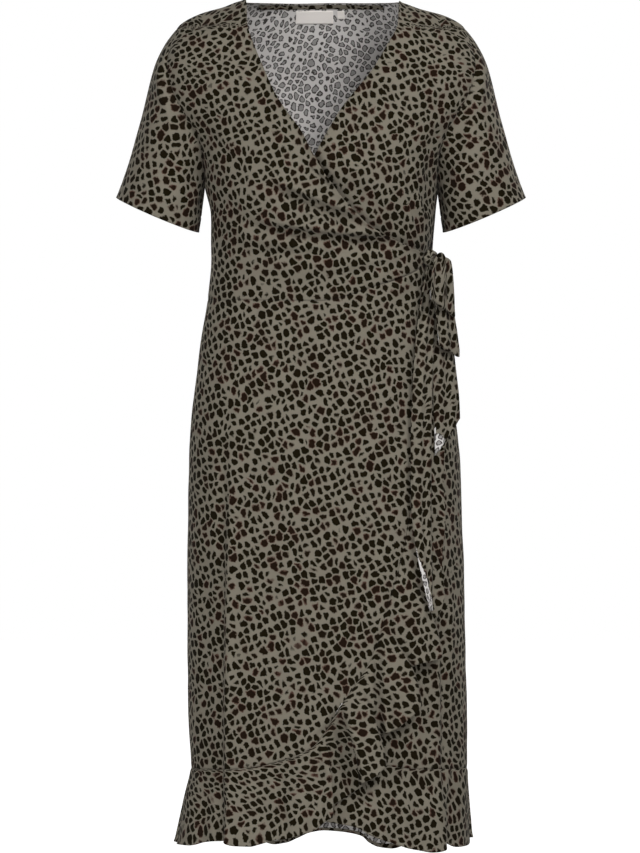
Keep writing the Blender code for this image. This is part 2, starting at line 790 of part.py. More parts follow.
def sleeve(name, own_left):
    along = [row.along for row in SLEEVE]
    side = 1 if own_left else -1

    def armhole(turn):
        """The body's armhole edge at a turn about it, 0 on the shoulder, 0.5 at the underarm."""
        v = np.where(turn < 0.5, turn, 1 - turn) * 2
        back = turn > 0.5
        height = armhole_height(v)
        angle = angle_of(rest_of(armhole_share(height, back)))
        angle = np.where(back, -angle, angle)
        point = figure(angle if own_left else 180 - angle, height)
        to_underarm = ((1 - np.cos(2 * np.pi * turn)) / 2) ** 4
        point[..., 0] += side * (ARM_GAP + UNDERARM_GAP * to_underarm)
        return point

    def ring(turn, t):
        outer_x, outer_z, inner_x, inner_z, depth = (
            smooth(along, [getattr(row, name) for row in SLEEVE], t)
            for name in ("outer_x", "outer_z", "inner_x", "inner_z", "depth")
        )
        swing = (1 + np.cos(2 * np.pi * turn)) / 2
        x = inner_x + (outer_x - inner_x) * swing + UNDERARM_GAP * (1 - swing) + ARM_GAP
        z = inner_z + (outer_z - inner_z) * swing
        z = z - CUFF_DIP * t**2 * np.maximum(np.sin(2 * np.pi * turn), 0)
        y = -depth * np.sin(2 * np.pi * turn)
        return np.stack([side * x, y, z], axis=-1)

    def surface(turn, t):
        own = 1 - turn if own_left else turn
        own = np.mod(own, 1)
        t = np.clip(t, 0, 1)
        stay = (1 - ease(t / 0.45))[..., None]
        return ring(own, t) + stay * (armhole(own) - ring(own, 0 * t))

    turn = np.linspace(0, 1, 2 * UPPER_ROWS, endpoint=False)
    t = np.array(SLEEVE_ROWS)
    turn, t = np.meshgrid(turn, t)
    cloth(name, surface(turn, t), OLIVE, closed=True)


def read_at(points, rows, columns):
    """A panel's points, or anything kept with them, at fractional rows and columns."""
    low_row = np.clip(np.floor(rows).astype(int), 0, points.shape[0] - 2)
    low_column = np.clip(np.floor(columns).astype(int), 0, points.shape[1] - 2)
    down = (rows - low_row)[:, None, None]
    across = (columns - low_column)[None, :, None]
    top, bottom = points[low_row], points[low_row + 1]
    upper = top[:, low_column] * (1 - across) + top[:, low_column + 1] * across
    lower = bottom[:, low_column] * (1 - across) + bottom[:, low_column + 1] * across
    return upper * (1 - down) + lower * down


def with_whole(start, end):
    """Every whole number between two limits, with the limits."""
    return np.array([start, *range(int(np.floor(start)) + 1, int(np.ceil(end))), end], float)


def neck_trim(panel):
    """The binding inside the back neck, and the label and the size tab below it, laid on the panel's points."""
    facing = np.cross(np.gradient(panel, axis=0), np.gradient(panel, axis=1))
    facing = facing / np.linalg.norm(facing, axis=-1, keepdims=True)

    def inside(name, left, right, top, bottom, wall, colour):
        middle = panel[1]
        ends = np.interp((-right, -left), -middle[:, 0], np.arange(len(middle)))
        drops = -panel[:, BACK_COLUMNS // 2, 2]
        sides = np.interp((top, bottom), drops, np.arange(len(drops)))
        rows, columns = with_whole(*sides), with_whole(*ends)
        points = read_at(panel, rows, columns)
        gap = TRIM_GAP + END_GAP * (points[..., :1] / NECK_HALF) ** 2
        points = points - gap * read_at(facing, rows, columns)
        cloth(name, points[:, ::-1], colour, wall=wall)

    inside("back_neck_binding", -90, 90, 0.3, 6.5, WALL, DARK)
    inside("neck_label", -35, 17, 9.0, 27.5, LABEL_WALL, WHITE)
    inside("size_tab", 23, 33, 9.0, 20.5, LABEL_WALL, WHITE)


def tie():
    def front_slant(share):
        return FRONT_SLANT * np.sin(np.pi * share) ** 2

    def back_slant(share):
        return BACK_SLANT * np.sin(np.pi * share) ** 2

    def end_slant(share):
        return END_SLANT * ease((share - 0.55) / 0.45)

    cloth("tie_loop_front", strip(LOOP_FRONT, 24, 4, 1.0, front_slant), OLIVE)
    cloth("tie_loop_back", strip(LOOP_BACK, 24, 4, 1.0, back_slant), OLIVE)
    cloth("tie_end_short", strip(END_SHORT, 12, 4, 1.5, end_slant), OLIVE)
    cloth("tie_end_long", strip(END_LONG, 16, 4, 1.5, lambda share: 0 * share), OLIVE)
    form = bmesh.new()
    bmesh.ops.create_uvsphere(form, u_segments=18, v_segments=10, radius=1)
    for vertex in form.verts:
        spin = np.arctan2(vertex.co.z, vertex.co.x)
        groove = 1 - 0.07 * np.cos(KNOT_WRAPS * spin + 2.5 * vertex.co.y) ** 2
        vertex.co = [(c + h * groove * v) * MM for c, h, v in zip(KNOT, KNOT_HALF, vertex.co)]
    mesh = bpy.data.meshes.new("tie_knot")
    form.to_mesh(mesh)
    form.free()
    finish("tie_knot", mesh, OLIVE)


back_panel = bodice()
ruffles(*skirt())
sleeve("right_sleeve", False)
sleeve("left_sleeve", True)
neck_trim(back_panel)
tie()
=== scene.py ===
import math
from collections import namedtuple

import bpy
import numpy as np
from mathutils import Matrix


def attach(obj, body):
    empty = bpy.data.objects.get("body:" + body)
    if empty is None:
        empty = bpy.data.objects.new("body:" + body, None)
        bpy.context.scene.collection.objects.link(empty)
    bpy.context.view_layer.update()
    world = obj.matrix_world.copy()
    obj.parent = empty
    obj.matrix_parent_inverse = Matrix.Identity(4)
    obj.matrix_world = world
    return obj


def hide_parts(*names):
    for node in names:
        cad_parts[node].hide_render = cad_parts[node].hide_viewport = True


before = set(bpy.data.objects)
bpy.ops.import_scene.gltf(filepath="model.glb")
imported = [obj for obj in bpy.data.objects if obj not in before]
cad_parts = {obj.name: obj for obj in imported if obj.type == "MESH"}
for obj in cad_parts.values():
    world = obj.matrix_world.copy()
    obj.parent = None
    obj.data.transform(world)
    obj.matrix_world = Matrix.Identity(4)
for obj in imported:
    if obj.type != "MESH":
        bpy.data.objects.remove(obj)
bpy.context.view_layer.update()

# Sizes are in millimetres until a mesh is made. The front faces -Y and +X is the wearer's left.
perMetre = 1000.0

garment = {
    "wall": 1.2,  # what the solids' cloth stands out from the figure
    "cloth": 0.7,  # thickness of the cloth as made here
    "waist": -421.0,
    "ruffleSeam": -1084.0,
    "ruffleDepth": 107.0,
    "neckHalf": 107.0,
    "neckBack": 72.0,
    "neckColumn": 5 / 18,  # share of the back's columns out to the neck's end
    "armholeTop": -36.0,
    "underarm": -251.0,
    "armholeFront": 54.0,
    "armholeBack": 60.0,
    "shoulderRoll": 130.0,
    "squareness": 2.3,
    "capLimit": 0.85,
    "drapeFade": 0.2,  # share of its length over which a drape fold runs out
    "layer": 3.4,  # how far the over front stands off the under front
    "sideTaper": 24.0,  # degrees over which it comes down to its side seam
    "press": 2.2,  # how far the under front gives way below the wrap edge
    "tuck": 9.0,  # and more right beside the edge
    "tuckReach": 17.0,
    "tuckTop": -150.0,
    "pressEnd": -520.0,
    "pressFade": 12.0,  # how far under the wrap edge the creases above it press through
    "seamDip": 0.8,  # how far the cloth dips into a seam
    "seamReach": 4.0,
}


def rowsOf(kind, *rows):
    return tuple(kind(*row) for row in rows)


# Horizontal sections: half widths to the wearer's right and left, depths to front and back.
Section = namedtuple("Section", "height right left front back")
sections = rowsOf(
    Section, (0, 164, 164, 84, 92), (-60, 164, 164, 94, 100), (-120, 164, 164, 104, 108), (-180, 164, 164, 115, 110),
    (-251, 164, 164, 125, 106), (-300, 155, 161, 122, 99), (-360, 154, 157, 111, 92), (-421, 159, 159, 103, 90),
    (-493, 171, 172, 106, 104), (-551, 178, 182, 111, 120), (-609, 184, 192, 115, 129), (-650, 186, 196, 118, 131),
    (-727, 187, 199, 121, 131), (-868, 188, 202, 126, 133), (-1006, 187, 206, 131, 137), (-1084, 183, 206, 133, 140),
    (-1120, 190, 207, 136, 144), (-1200, 204, 209, 143, 153),
)

Edge = namedtuple("Edge", "height out")
shoulder = rowsOf(
    Edge, (0, 0), (0, 106), (-10, 140), (-17, 168), (-24, 186), (-36, 203), (-54, 215), (-70, 224),
)
armhole = rowsOf(
    Edge, (-36, 203), (-60, 212), (-91, 218), (-120, 212), (-146, 200), (-169, 186), (-187, 175), (-215, 167),
    (-251, 164),
)

# Edges of the two fronts, "out" measured from the centre towards the front's own side seam.
overNeck = rowsOf(
    Edge, (0, 106), (-38, 103), (-72, 91), (-102, 78), (-130, 65), (-157, 48), (-184, 28), (-216, 12), (-251, -9),
    (-283, -34), (-317, -68), (-339, -106), (-350, -130), (-363, -150),
)
underNeck = rowsOf(
    Edge, (0, 110), (-34, 108), (-61, 94), (-95, 74), (-120, 54), (-153, 28), (-188, 7), (-218, -10), (-251, -34),
    (-300, -72), (-345, -100), (-385, -118),
)
overWaist = rowsOf(
    Edge, (-421, 159), (-422, 92), (-423, 46), (-423, 0), (-419, -27), (-408, -59), (-396, -93), (-386, -120),
    (-375, -139), (-363, -150),
)
underWaist = rowsOf(
    Edge, (-421, 159), (-422, 92), (-423, 0), (-410, -60), (-385, -118),
)
overSeam = rowsOf(
    Edge, (-1084, 183), (-1084, 136), (-1081, 96), (-1073, 62), (-1064, 35), (-1053, 13), (-1030, -6), (-999, -24),
    (-972, -43), (-943, -62), (-910, -78), (-867, -90), (-825, -102), (-775, -115), (-718, -125), (-676, -130),
    (-619, -137), (-568, -141), (-520, -143), (-478, -146), (-421, -149), (-363, -150),
)
underSeam = overSeam[:8] + rowsOf(
    Edge, (-950, -48), (-880, -68), (-780, -82), (-680, -92), (-560, -102), (-450, -112), (-385, -118),
)
seamCorner = 7  # the seam's row that the front skirt's bottom corner sits on

# Soft folds that run down the skirt: angle from the wearer's left towards the front, half width and height.
Fold = namedtuple("Fold", "angle spread rise top full")
skirtFolds = rowsOf(
    Fold, (132, 7, 4.0, -560, -900), (143, 6, -4.0, -620, -980), (96, 9, 2.5, -700, -1050), (110, 8, -2.5, -800, -1080),
    (30, 6, -6.0, -880, -1040), (41, 7, 4.0, -880, -1040), (212, 9, 4.0, -560, -950), (228, 8, -4.0, -620, -980),
    (262, 10, 5.0, -600, -1000), (280, 9, -4.0, -640, -980), (301, 8, 4.0, -620, -980), (322, 9, -4.0, -700, -1000),
)

# Drape folds of the over front, which fan out from the knot.
Drape = namedtuple("Drape", "rowSide rowEdge spread rise start full end")
drapes = rowsOf(
    Drape, (0.10, 0.36, 0.070, 3.0, 0.42, 0.70, 0.98), (0.34, 0.58, 0.080, 6.5, 0.28, 0.62, 0.98),
    (0.66, 0.80, 0.070, 2.5, 0.30, 0.60, 0.96),
)


def smoothCurve(xs, ys, x):  # through the points without overshooting them
    xs = np.asarray(xs, float)
    ys = np.asarray(ys, float)
    step = np.diff(xs)
    rate = np.diff(ys) / step
    slope = np.zeros_like(ys)
    slope[0] = rate[0]
    slope[-1] = rate[-1]
    product = rate[1:] * rate[:-1]
    total = rate[1:] + rate[:-1]
    same = product > 0
    slope[1:-1][same] = 2 * product[same] / total[same]
    x = np.clip(x, xs[0], xs[-1])
    i = np.clip(np.searchsorted(xs, x) - 1, 0, len(step) - 1)
    t = (x - xs[i]) / step[i]
    low = ys[i] * (1 + 2 * t) * (1 - t) ** 2 + slope[i] * step[i] * t * (1 - t) ** 2
    high = ys[i + 1] * t * t * (3 - 2 * t) - slope[i + 1] * step[i] * t * t * (1 - t)
    return low + high


def ease(x):  # 0 below 0, 1 above 1, smooth between
    t = np.clip(x, 0, 1)
    return t * t * (3 - 2 * t)


def readColumn(table, name, by, place):  # one column of a table of rows, read by another that rises
    return smoothCurve([getattr(row, by) for row in table], [getattr(row, name) for row in table], place)


def columnOf(table, name, height):  # the same for a table that runs from the top down
    return readColumn(table[::-1], name, "height", height)


def shoulderHeight(x):
    return readColumn(shoulder, "height", "out", np.abs(x))


def roll(x, height):  # 0 on the shoulder line, 1 a full roll below it
    drop = np.clip((shoulderHeight(x) - height) / garment["shoulderRoll"], 0, 1)
    return np.sqrt(1 - (1 - drop) ** 2)


def restOf(share):  # the section's other side where one side is known
    n = garment["squareness"]
    return (1 - np.clip(np.abs(share), 0, 1) ** n) ** (1 / n)


def depthAt(height, back):
    return np.where(back, columnOf(sections, "back", height), columnOf(sections, "front", height))


def armholeShare(height, back):  # how deep the armhole is cut at a height, in shares of the section's depth
    top, bottom = garment["armholeTop"], garment["underarm"]
    height = np.minimum(height, top - 0.01)
    roundOff = np.sqrt(np.clip(1 - ((height - (top + bottom) / 2) / ((top - bottom) / 2)) ** 2, 0, 1))
    wanted = np.where(back, garment["armholeBack"], garment["armholeFront"]) * roundOff
    available = depthAt(height, back) * roll(columnOf(armhole, "out", height), height)
    share = wanted / np.maximum(available, 1)
    return np.where(height <= bottom, 0, np.minimum(share, garment["capLimit"]))


def halfWidth(height, left, back):
    plain = np.where(left, columnOf(sections, "left", height), columnOf(sections, "right", height))
    reach = columnOf(armhole, "out", height) / restOf(armholeShare(height, back))
    return np.where(height > garment["underarm"], reach, plain)


def section(angle):  # a point of the rounded section, in shares of its half width and depth
    n = garment["squareness"]
    across = np.cos(np.radians(angle))
    deep = np.sin(np.radians(angle))
    size = (np.abs(across) ** n + np.abs(deep) ** n) ** (1 / n)
    return across / size, deep / size


def angleOf(share):  # of a place across, in shares of the half width
    return np.degrees(np.arctan2(restOf(share), np.clip(share, -1, 1)))


def figure(angle, height):  # the cloth's inner surface, angle from the wearer's left side through the front
    across, deep = section(angle)
    back = deep < 0
    x = halfWidth(height, across > 0, back) * across
    y = -deep * depthAt(height, back)
    neck = garment["neckBack"] * np.sqrt(np.clip(1 - (x / garment["neckHalf"]) ** 2, 0, 1))
    rim = np.where(back, neck, 0)
    y = rim + (y - rim) * roll(x, height)
    return np.stack([x, y, height + 0 * x], axis=-1)


def unitOf(vectors):
    return vectors / np.linalg.norm(vectors, axis=-1, keepdims=True)


def outward(angle, height):
    across = figure(angle + 0.4, height) - figure(angle - 0.4, height)
    down = figure(angle, height - 1) - figure(angle, height + 1)
    return unitOf(np.cross(across, down))


def angleAt(out, height, back=False):
    out = np.asarray(out, float)
    return angleOf(out / halfWidth(height, out < 0, back))


def tableLengths(table):
    steps = [math.hypot(b.height - a.height, b.out - a.out) for a, b in zip(table, table[1:])]
    return np.concatenate([[0], np.cumsum(steps)])


def edgeCurve(table):  # angle and height by share of the edge's length
    heights = np.array([row.height for row in table], float)
    outs = np.array([row.out for row in table], float)
    lengths = tableLengths(table)
    angles = angleAt(outs, heights)

    def curve(share):
        along = np.asarray(share, float) * lengths[-1]
        return smoothCurve(lengths, angles, along), smoothCurve(lengths, heights, along)

    return curve


def partOf(curve, start, end):
    return lambda share: curve(start + (end - start) * np.asarray(share, float))


def patch(top, bottom, side, edge):  # blends four boundary curves of angle and height
    corners = [np.array(curve(end)) for curve in (top, bottom) for end in (0.0, 1.0)]

    def inside(u, v):
        blends = []
        for k in (0, 1):
            across = (1 - v) * top(u)[k] + v * bottom(u)[k]
            down = (1 - u) * side(v)[k] + u * edge(v)[k]
            bent = (1 - u) * (1 - v) * corners[0][k] + u * (1 - v) * corners[1][k]
            bent = bent + (1 - u) * v * corners[2][k] + u * v * corners[3][k]
            blends.append(across + down - bent)
        return blends

    return inside


def straight(start, end):
    return lambda share: tuple(a + (b - a) * np.asarray(share, float) for a, b in zip(start, end))


def rowShare(v):
    return (1 - np.cos(np.pi * np.clip(v, 0, 1))) / 2


def armholeHeight(v):
    heights = np.linspace(garment["armholeTop"], garment["underarm"], 400)
    tops = shoulderHeight(columnOf(armhole, "out", heights))
    shares = (tops - heights) / (tops - garment["underarm"])
    return np.interp(rowShare(v), shares, heights)


def armholeAngle(v, back):
    return angleOf(restOf(armholeShare(armholeHeight(v), back)))


def upperRow(angle, v, back):  # along the shoulder line at the top, level at the underarm
    out = halfWidth(armholeHeight(v), True, back) * section(angle)[0]
    height = shoulderHeight(out) * (1 - rowShare(v)) + garment["underarm"] * rowShare(v)
    return angleAt(out, height, back), height


def frontBodice(neck, waistEdge):  # v is 0 at the shoulder, 1 at the underarm, 2 at the waist seam
    underarm = garment["underarm"]
    neckRows = [row for row in neck if row.height >= underarm]
    below = [row for row in neck if row.height <= underarm]
    start = (0.0, underarm)
    corner = (float(angleAt(below[0].out, underarm)), underarm)
    lower = patch(
        straight(start, corner), edgeCurve(waistEdge), straight(start, (0.0, garment["waist"])), edgeCurve(below)
    )

    def place(u, v):
        high = np.clip(v, 0, 1)
        sideAngle = armholeAngle(high, False)
        out = columnOf(neckRows, "out", underarm * rowShare(high))
        neckAngle = angleOf(out / halfWidth(armholeHeight(high), True, False))
        highAngle, highHeight = upperRow(sideAngle + (neckAngle - sideAngle) * u, high, False)
        lowAngle, lowHeight = lower(u, np.clip(v - 1, 0, 1))
        return np.where(v > 1, lowAngle, highAngle), np.where(v > 1, lowHeight, highHeight)

    return place


def frontSkirt(waistEdge, seam):
    whole = edgeCurve(seam)
    lengths = tableLengths(seam)
    corner = lengths[seamCorner] / lengths[-1]
    bottom = partOf(whole, 0, corner)
    edge = partOf(whole, 1, corner)
    side = straight((0.0, garment["waist"]), (0.0, garment["ruffleSeam"]))
    return patch(edgeCurve(waistEdge), bottom, side, edge)


def backBodice(u, v):  # u runs from the wearer's left to the right
    underarm, neckColumn = garment["underarm"], garment["neckColumn"]
    high = np.clip(v, 0, 1)
    sideAngle = armholeAngle(high, True)
    topSide = armholeAngle(0.0, True)
    neckAngle = angleOf(garment["neckHalf"] / halfWidth(garment["armholeTop"], True, True))
    neckShare = (neckAngle - topSide) / (180 - 2 * topSide)
    spread = np.interp(u, (0, neckColumn, 1 - neckColumn, 1), (0, neckShare, 1 - neckShare, 1))
    across = spread + (u - spread) * rowShare(high)
    highAngle, highHeight = upperRow(sideAngle + (180 - 2 * sideAngle) * across, high, True)
    lowHeight = underarm + (garment["waist"] - underarm) * np.clip(v - 1, 0, 1)
    angle = np.where(v > 1, 180 * u, highAngle)
    return 360 - angle, np.where(v > 1, lowHeight, highHeight)


def backSkirt(u, v):
    return 360 - 180 * u, garment["waist"] + (garment["ruffleSeam"] - garment["waist"]) * v


# Where a point of the figure lies on the flat cloth: arc lengths round from the centre and up from a level.
flatLook = {
    "angleStep": 2.0,
    "heightStep": 5.0,
    "longestStep": 12.0,  # where the shoulder turns flat, a step down counts no more than this
    "level": -600.0,
}
flatAngles = np.arange(-20, 381, flatLook["angleStep"])
flatHeights = np.arange(0, -1301, -flatLook["heightStep"])


def runLength(points, axis, longest=math.inf):
    steps = np.minimum(np.linalg.norm(np.diff(points, axis=axis), axis=-1), longest)
    start = np.zeros_like(np.take(steps, [0], axis=axis))
    return np.concatenate([start, np.cumsum(steps, axis=axis)], axis=axis)


def flatTables():
    angles, heights = np.meshgrid(flatAngles, flatHeights)
    points = figure(angles, heights)
    down = runLength(points, 0, flatLook["longestStep"])
    level = int(np.argmin(np.abs(flatHeights - flatLook["level"])))
    return runLength(points, 1), down - down[level]


flatAround, flatDown = flatTables()


def readGrid(grid, row, column):  # between its own rows and columns
    i, j = np.floor(row).astype(int), np.floor(column).astype(int)
    s, t = (part.reshape(part.shape + (1,) * (grid.ndim - 2)) for part in (row - i, column - j))
    upper = grid[i, j] * (1 - t) + grid[i, j + 1] * t
    lower = grid[i + 1, j] * (1 - t) + grid[i + 1, j + 1] * t
    return upper * (1 - s) + lower * s


def readTable(table, angle, height):
    column = np.clip((angle - flatAngles[0]) / flatLook["angleStep"], 0, len(flatAngles) - 1.001)
    return readGrid(table, np.clip(-height / flatLook["heightStep"], 0, len(flatHeights) - 1.001), column)


def flatPlace(angle, height, centre):
    u = readTable(flatAround, angle, height) - readTable(flatAround, centre + 0 * angle, height)
    return np.stack([u, -readTable(flatDown, angle, height)], axis=-1)


print("figure ready")

# Creases lie along a curve through a start, a bend and an end, in the view from the front or the back. A negative
# depth is a trough. "ridge" adds a ridge beside the trough, to the left of its direction, and "lip" steepens that side.
Crease = namedtuple("Crease", "x0 z0 x1 z1 x2 z2 width depth ridge lip", defaults=(0.3, 0.0))
creaseLook = {
    "steps": 48,
    "fade": 0.3,  # share of its length over which a crease runs out
    "ridgeAt": 1.7,  # in widths from the crease's line
}


def creased(base, table):
    look = creaseLook
    x, z = base[..., 0], base[..., 2]
    total = np.zeros_like(x)
    t = np.linspace(0, 1, look["steps"] + 1)
    for c in table:
        px = (1 - t) ** 2 * c.x0 + 2 * t * (1 - t) * c.x1 + t * t * c.x2
        pz = (1 - t) ** 2 * c.z0 + 2 * t * (1 - t) * c.z1 + t * t * c.z2
        reach = 4 * c.width
        near = (x > px.min() - reach) & (x < px.max() + reach) & (z > pz.min() - reach) & (z < pz.max() + reach)
        if not near.any():
            continue
        dx = x[near][:, None] - px
        dz = z[near][:, None] - pz
        k = np.argmin(dx * dx + dz * dz, axis=1)
        tx, tz = np.gradient(px)[k], np.gradient(pz)[k]
        dx, dz = dx[np.arange(len(k)), k], dz[np.arange(len(k)), k]
        step = np.hypot(tx, tz)
        away = (tx * dz - tz * dx) / (step * c.width)
        away = away * np.where(away > 0, 1 + c.lip, 1)
        place = t[k] + (tx * dx + tz * dz) / step**2 * t[1]
        fade = ease(place / look["fade"]) * ease((1 - place) / look["fade"])
        shape = np.exp(-(away**2)) - c.ridge * np.exp(-((away - look["ridgeAt"]) ** 2))
        total[near] += c.depth * fade * shape
    return total


Ripple = namedtuple("Ripple", "across down phase rise")
ripples = rowsOf(
    Ripple, (0.021, 0.034, 0.3, 0.30), (0.047, -0.019, 1.9, 0.26), (-0.033, 0.058, 4.1, 0.22),
    (0.081, 0.027, 2.7, 0.14), (0.064, -0.092, 5.2, 0.10), (0.011, 0.105, 0.9, 0.10),
)


def rippled(x, z):  # cloth is never quite smooth
    return sum(r.rise * np.sin(x * r.across + z * r.down + r.phase) for r in ripples)


def skirtFolded(angle, height):
    rise = 0
    for fold in skirtFolds:
        grown = ease((fold.top - height) / (fold.top - fold.full))
        rise = rise + fold.rise * grown * np.exp(-(((angle - fold.angle) / fold.spread) ** 2))
    return rise


def drapeFolded(u, v):
    rise = 0
    for drape in drapes:
        middle = drape.rowSide + (drape.rowEdge - drape.rowSide) * u
        along = ease((u - drape.start) / (drape.full - drape.start)) * ease((drape.end - u) / garment["drapeFade"])
        rise = rise + drape.rise * along * np.exp(-(((v - 1 - middle) / drape.spread) ** 2))
    return rise


def layerAt(angle):
    return garment["layer"] * ease(angle / garment["sideTaper"])


def overEdgeHeight(x):  # height of the wrap edge at a place across
    return np.interp(x, [-row.out for row in overNeck], [row.height for row in overNeck])


def pressedBelow(base):  # the under front gives way beneath the over front
    height, edge = base[..., 2], overEdgeHeight(base[..., 0])
    tuck = garment["tuck"] * np.exp(-np.maximum(height - edge, 0) / garment["tuckReach"])
    tuck = tuck * ease((garment["tuckTop"] - height) / 60)
    return -(garment["press"] * ease((edge - height + 20) / 40) + tuck) * ease((height - garment["pressEnd"]) / 100)


# Materials. The print is common animal spots, laid on the flat cloth in metres.
printLook = {
    "spotPitch": 0.0106,
    "spotTall": 0.85,
    "scatter": 0.70,  # 0 sets the spots in rows, 1 is wholly uneven
    "turn": 0.42,
    "wobbles": ((36.0, 0.0060), (140.0, 0.0040), (420.0, 0.0016)),  # how fine and how far the outlines wander
    "gaps": (0.11, 0.38),  # least and most bare ground round a spot, in shares of a cell
    "radii": (0.60, 0.42),
    "corner": 0.15,  # how round a spot's corners are
    "outline": (-0.04, 0.04),  # where a spot's colour fades in
    "haloLine": (-0.11, -0.03),
    "warmFrom": (0.66, 0.90),  # of all spots, those past the first start to be warm
    "warmth": 0.8,
    "ground": (0.170, 0.1535, 0.1205),
    "spot": (0.0072, 0.0052, 0.0016),
    "warmSpot": (0.0120, 0.0058, 0.0032),
    "halo": (0.060, 0.0180, 0.0120),
    "clouds": 22.0,
    "cloudShades": (0.93, 1.07),  # darkest and palest ground
    "reverseGround": (0.60, 0.577, 0.560),
    "reverseRing": (0.040, 0.034, 0.031),
    "reverseSpot": (0.28, 0.27, 0.26),
    "reverseCloser": 1.12,
    "reverseOutline": (0.02, 0.08),
    "ringAt": 0.065,
    "ringLine": (0.09, 0.035),
    "ringStrength": 0.95,
    "thread": 0.00042,
    "slubs": 420.0,
    "bump": (0.35, 0.00012),  # strength and height of the threads
    "roughness": 0.86,
    "reverseRoughness": 0.88,
    "shine": 0.03,
    "sheen": 0.02,
    "sheenRoughness": 0.5,
}
labelLook = {
    "ribs": 420.0,
    "dark": (0.72, 0.68, 0.64),
    "pale": (0.86, 0.81, 0.77),
    "bump": (0.4, 0.0001),
    "roughness": 0.6,
}


def nodeMaker(material):
    tree = material.node_tree

    def add(kind, inputs=(), **settings):
        node = tree.nodes.new("ShaderNode" + kind)
        for key, value in settings.items():
            setattr(node, key, value)
        for key, value in dict(inputs).items():
            if isinstance(value, bpy.types.NodeSocket):
                tree.links.new(value, node.inputs[key])
            else:
                node.inputs[key].default_value = value
        return node

    return add


def mathNode(add, operation, *values):
    return add("Math", dict(enumerate(values)), operation=operation).outputs[0]


def vectorNode(add, operation, vector, name, value):
    return add("VectorMath", {0: vector, name: value}, operation=operation).outputs[0]


def spanNode(add, value, start, end, low=0.0, high=1.0):  # low at the start of the span, high at its end
    ends = {"From Min": start, "From Max": end, "To Min": low, "To Max": high}
    return add("MapRange", {"Value": value, **ends}).outputs[0]


def noiseNode(add, coords, scale, detail):
    return add("TexNoise", {"Vector": coords, "Scale": scale, "Detail": detail}, noise_dimensions="2D").outputs


def bandNode(add, coords, scale, way):
    bands = {"Vector": coords, "Scale": scale}
    return add("TexWave", bands, wave_type="BANDS", bands_direction=way).outputs["Fac"]


def bumpNode(add, height, bump):
    return add("Bump", {"Height": height, "Strength": bump[0], "Distance": bump[1]}).outputs[0]


def mixColour(add, factor, first, second):
    return add("Mix", {0: factor, 6: first, 7: second}, data_type="RGBA").outputs[2]


def colour(values, shade=1.0):
    return (*(value * shade for value in values), 1.0)


def spotNodes(add, closer=1.0):
    look = printLook
    coords = add("UVMap", uv_map="cloth").outputs["UV"]
    moved = coords
    for scale, reach in look["wobbles"]:
        wobble = noiseNode(add, coords, scale, 1.0)["Color"]
        centred = vectorNode(add, "SUBTRACT", wobble, 1, (0.5, 0.5, 0.5))
        moved = vectorNode(add, "ADD", moved, 1, vectorNode(add, "SCALE", centred, "Scale", reach))
    pitch = look["spotPitch"]
    turned = add("VectorRotate", {"Vector": moved, "Angle": look["turn"]}, rotation_type="Z_AXIS").outputs[0]
    cells = vectorNode(add, "MULTIPLY", turned, 1, (closer / pitch, closer * look["spotTall"] / pitch, 1.0))
    scatter = {"Vector": cells, "Scale": 1.0, "Randomness": look["scatter"]}
    nearest, second = (
        add("TexVoronoi", scatter, voronoi_dimensions="2D", feature=feature).outputs for feature in ("F1", "F2")
    )
    gap, warm, size = add("SeparateColor", {"Color": nearest["Color"]}).outputs
    lead = mathNode(add, "SUBTRACT", second["Distance"], nearest["Distance"])
    clear = mathNode(add, "SUBTRACT", lead, spanNode(add, gap, 0.0, 1.0, *look["gaps"]))
    within = mathNode(add, "SUBTRACT", spanNode(add, size, 0.0, 1.0, *look["radii"]), nearest["Distance"])
    inside = mathNode(add, "SMOOTH_MIN", mathNode(add, "MULTIPLY", clear, 0.5), within, look["corner"])
    return coords, inside, warm


def weaveNodes(add, coords):
    scale = 2 * math.pi / (20 * printLook["thread"])  # the wave texture has 20 radians to a unit
    weave = mathNode(add, "ADD", bandNode(add, coords, scale, "X"), bandNode(add, coords, scale, "Y"))
    slub = noiseNode(add, coords, printLook["slubs"], 3.0)["Fac"]
    return bumpNode(add, mathNode(add, "ADD", weave, slub), printLook["bump"])


def newMaterial(name, roughness, more=()):
    material = bpy.data.materials.new(name)
    material.use_nodes = True
    inputs = material.node_tree.nodes["Principled BSDF"].inputs
    for key, value in {"Roughness": roughness, "Specular IOR Level": printLook["shine"], **dict(more)}.items():
        inputs[key].default_value = value
    return material


def finished(material, base, normal):
    inputs = material.node_tree.nodes["Principled BSDF"].inputs
    material.node_tree.links.new(base, inputs["Base Color"])
    material.node_tree.links.new(normal, inputs["Normal"])
    return material


def printedFace():
    look = printLook
    sheen = {"Sheen Weight": look["sheen"], "Sheen Roughness": look["sheenRoughness"]}
    material = newMaterial("printedClothFace", look["roughness"], sheen)
    add = nodeMaker(material)
    coords, inside, warm = spotNodes(add)
    some = spanNode(add, warm, *look["warmFrom"], 0.0, look["warmth"])
    tint = mathNode(add, "MULTIPLY", spanNode(add, inside, *look["haloLine"]), some)
    cloudy = noiseNode(add, coords, look["clouds"], 3.0)["Fac"]
    ground = mixColour(add, cloudy, *(colour(look["ground"], shade) for shade in look["cloudShades"]))
    haloed = mixColour(add, tint, ground, colour(look["halo"]))
    body = mixColour(add, some, colour(look["spot"]), colour(look["warmSpot"]))
    printed = mixColour(add, spanNode(add, inside, *look["outline"]), haloed, body)
    return finished(material, printed, weaveNodes(add, coords))


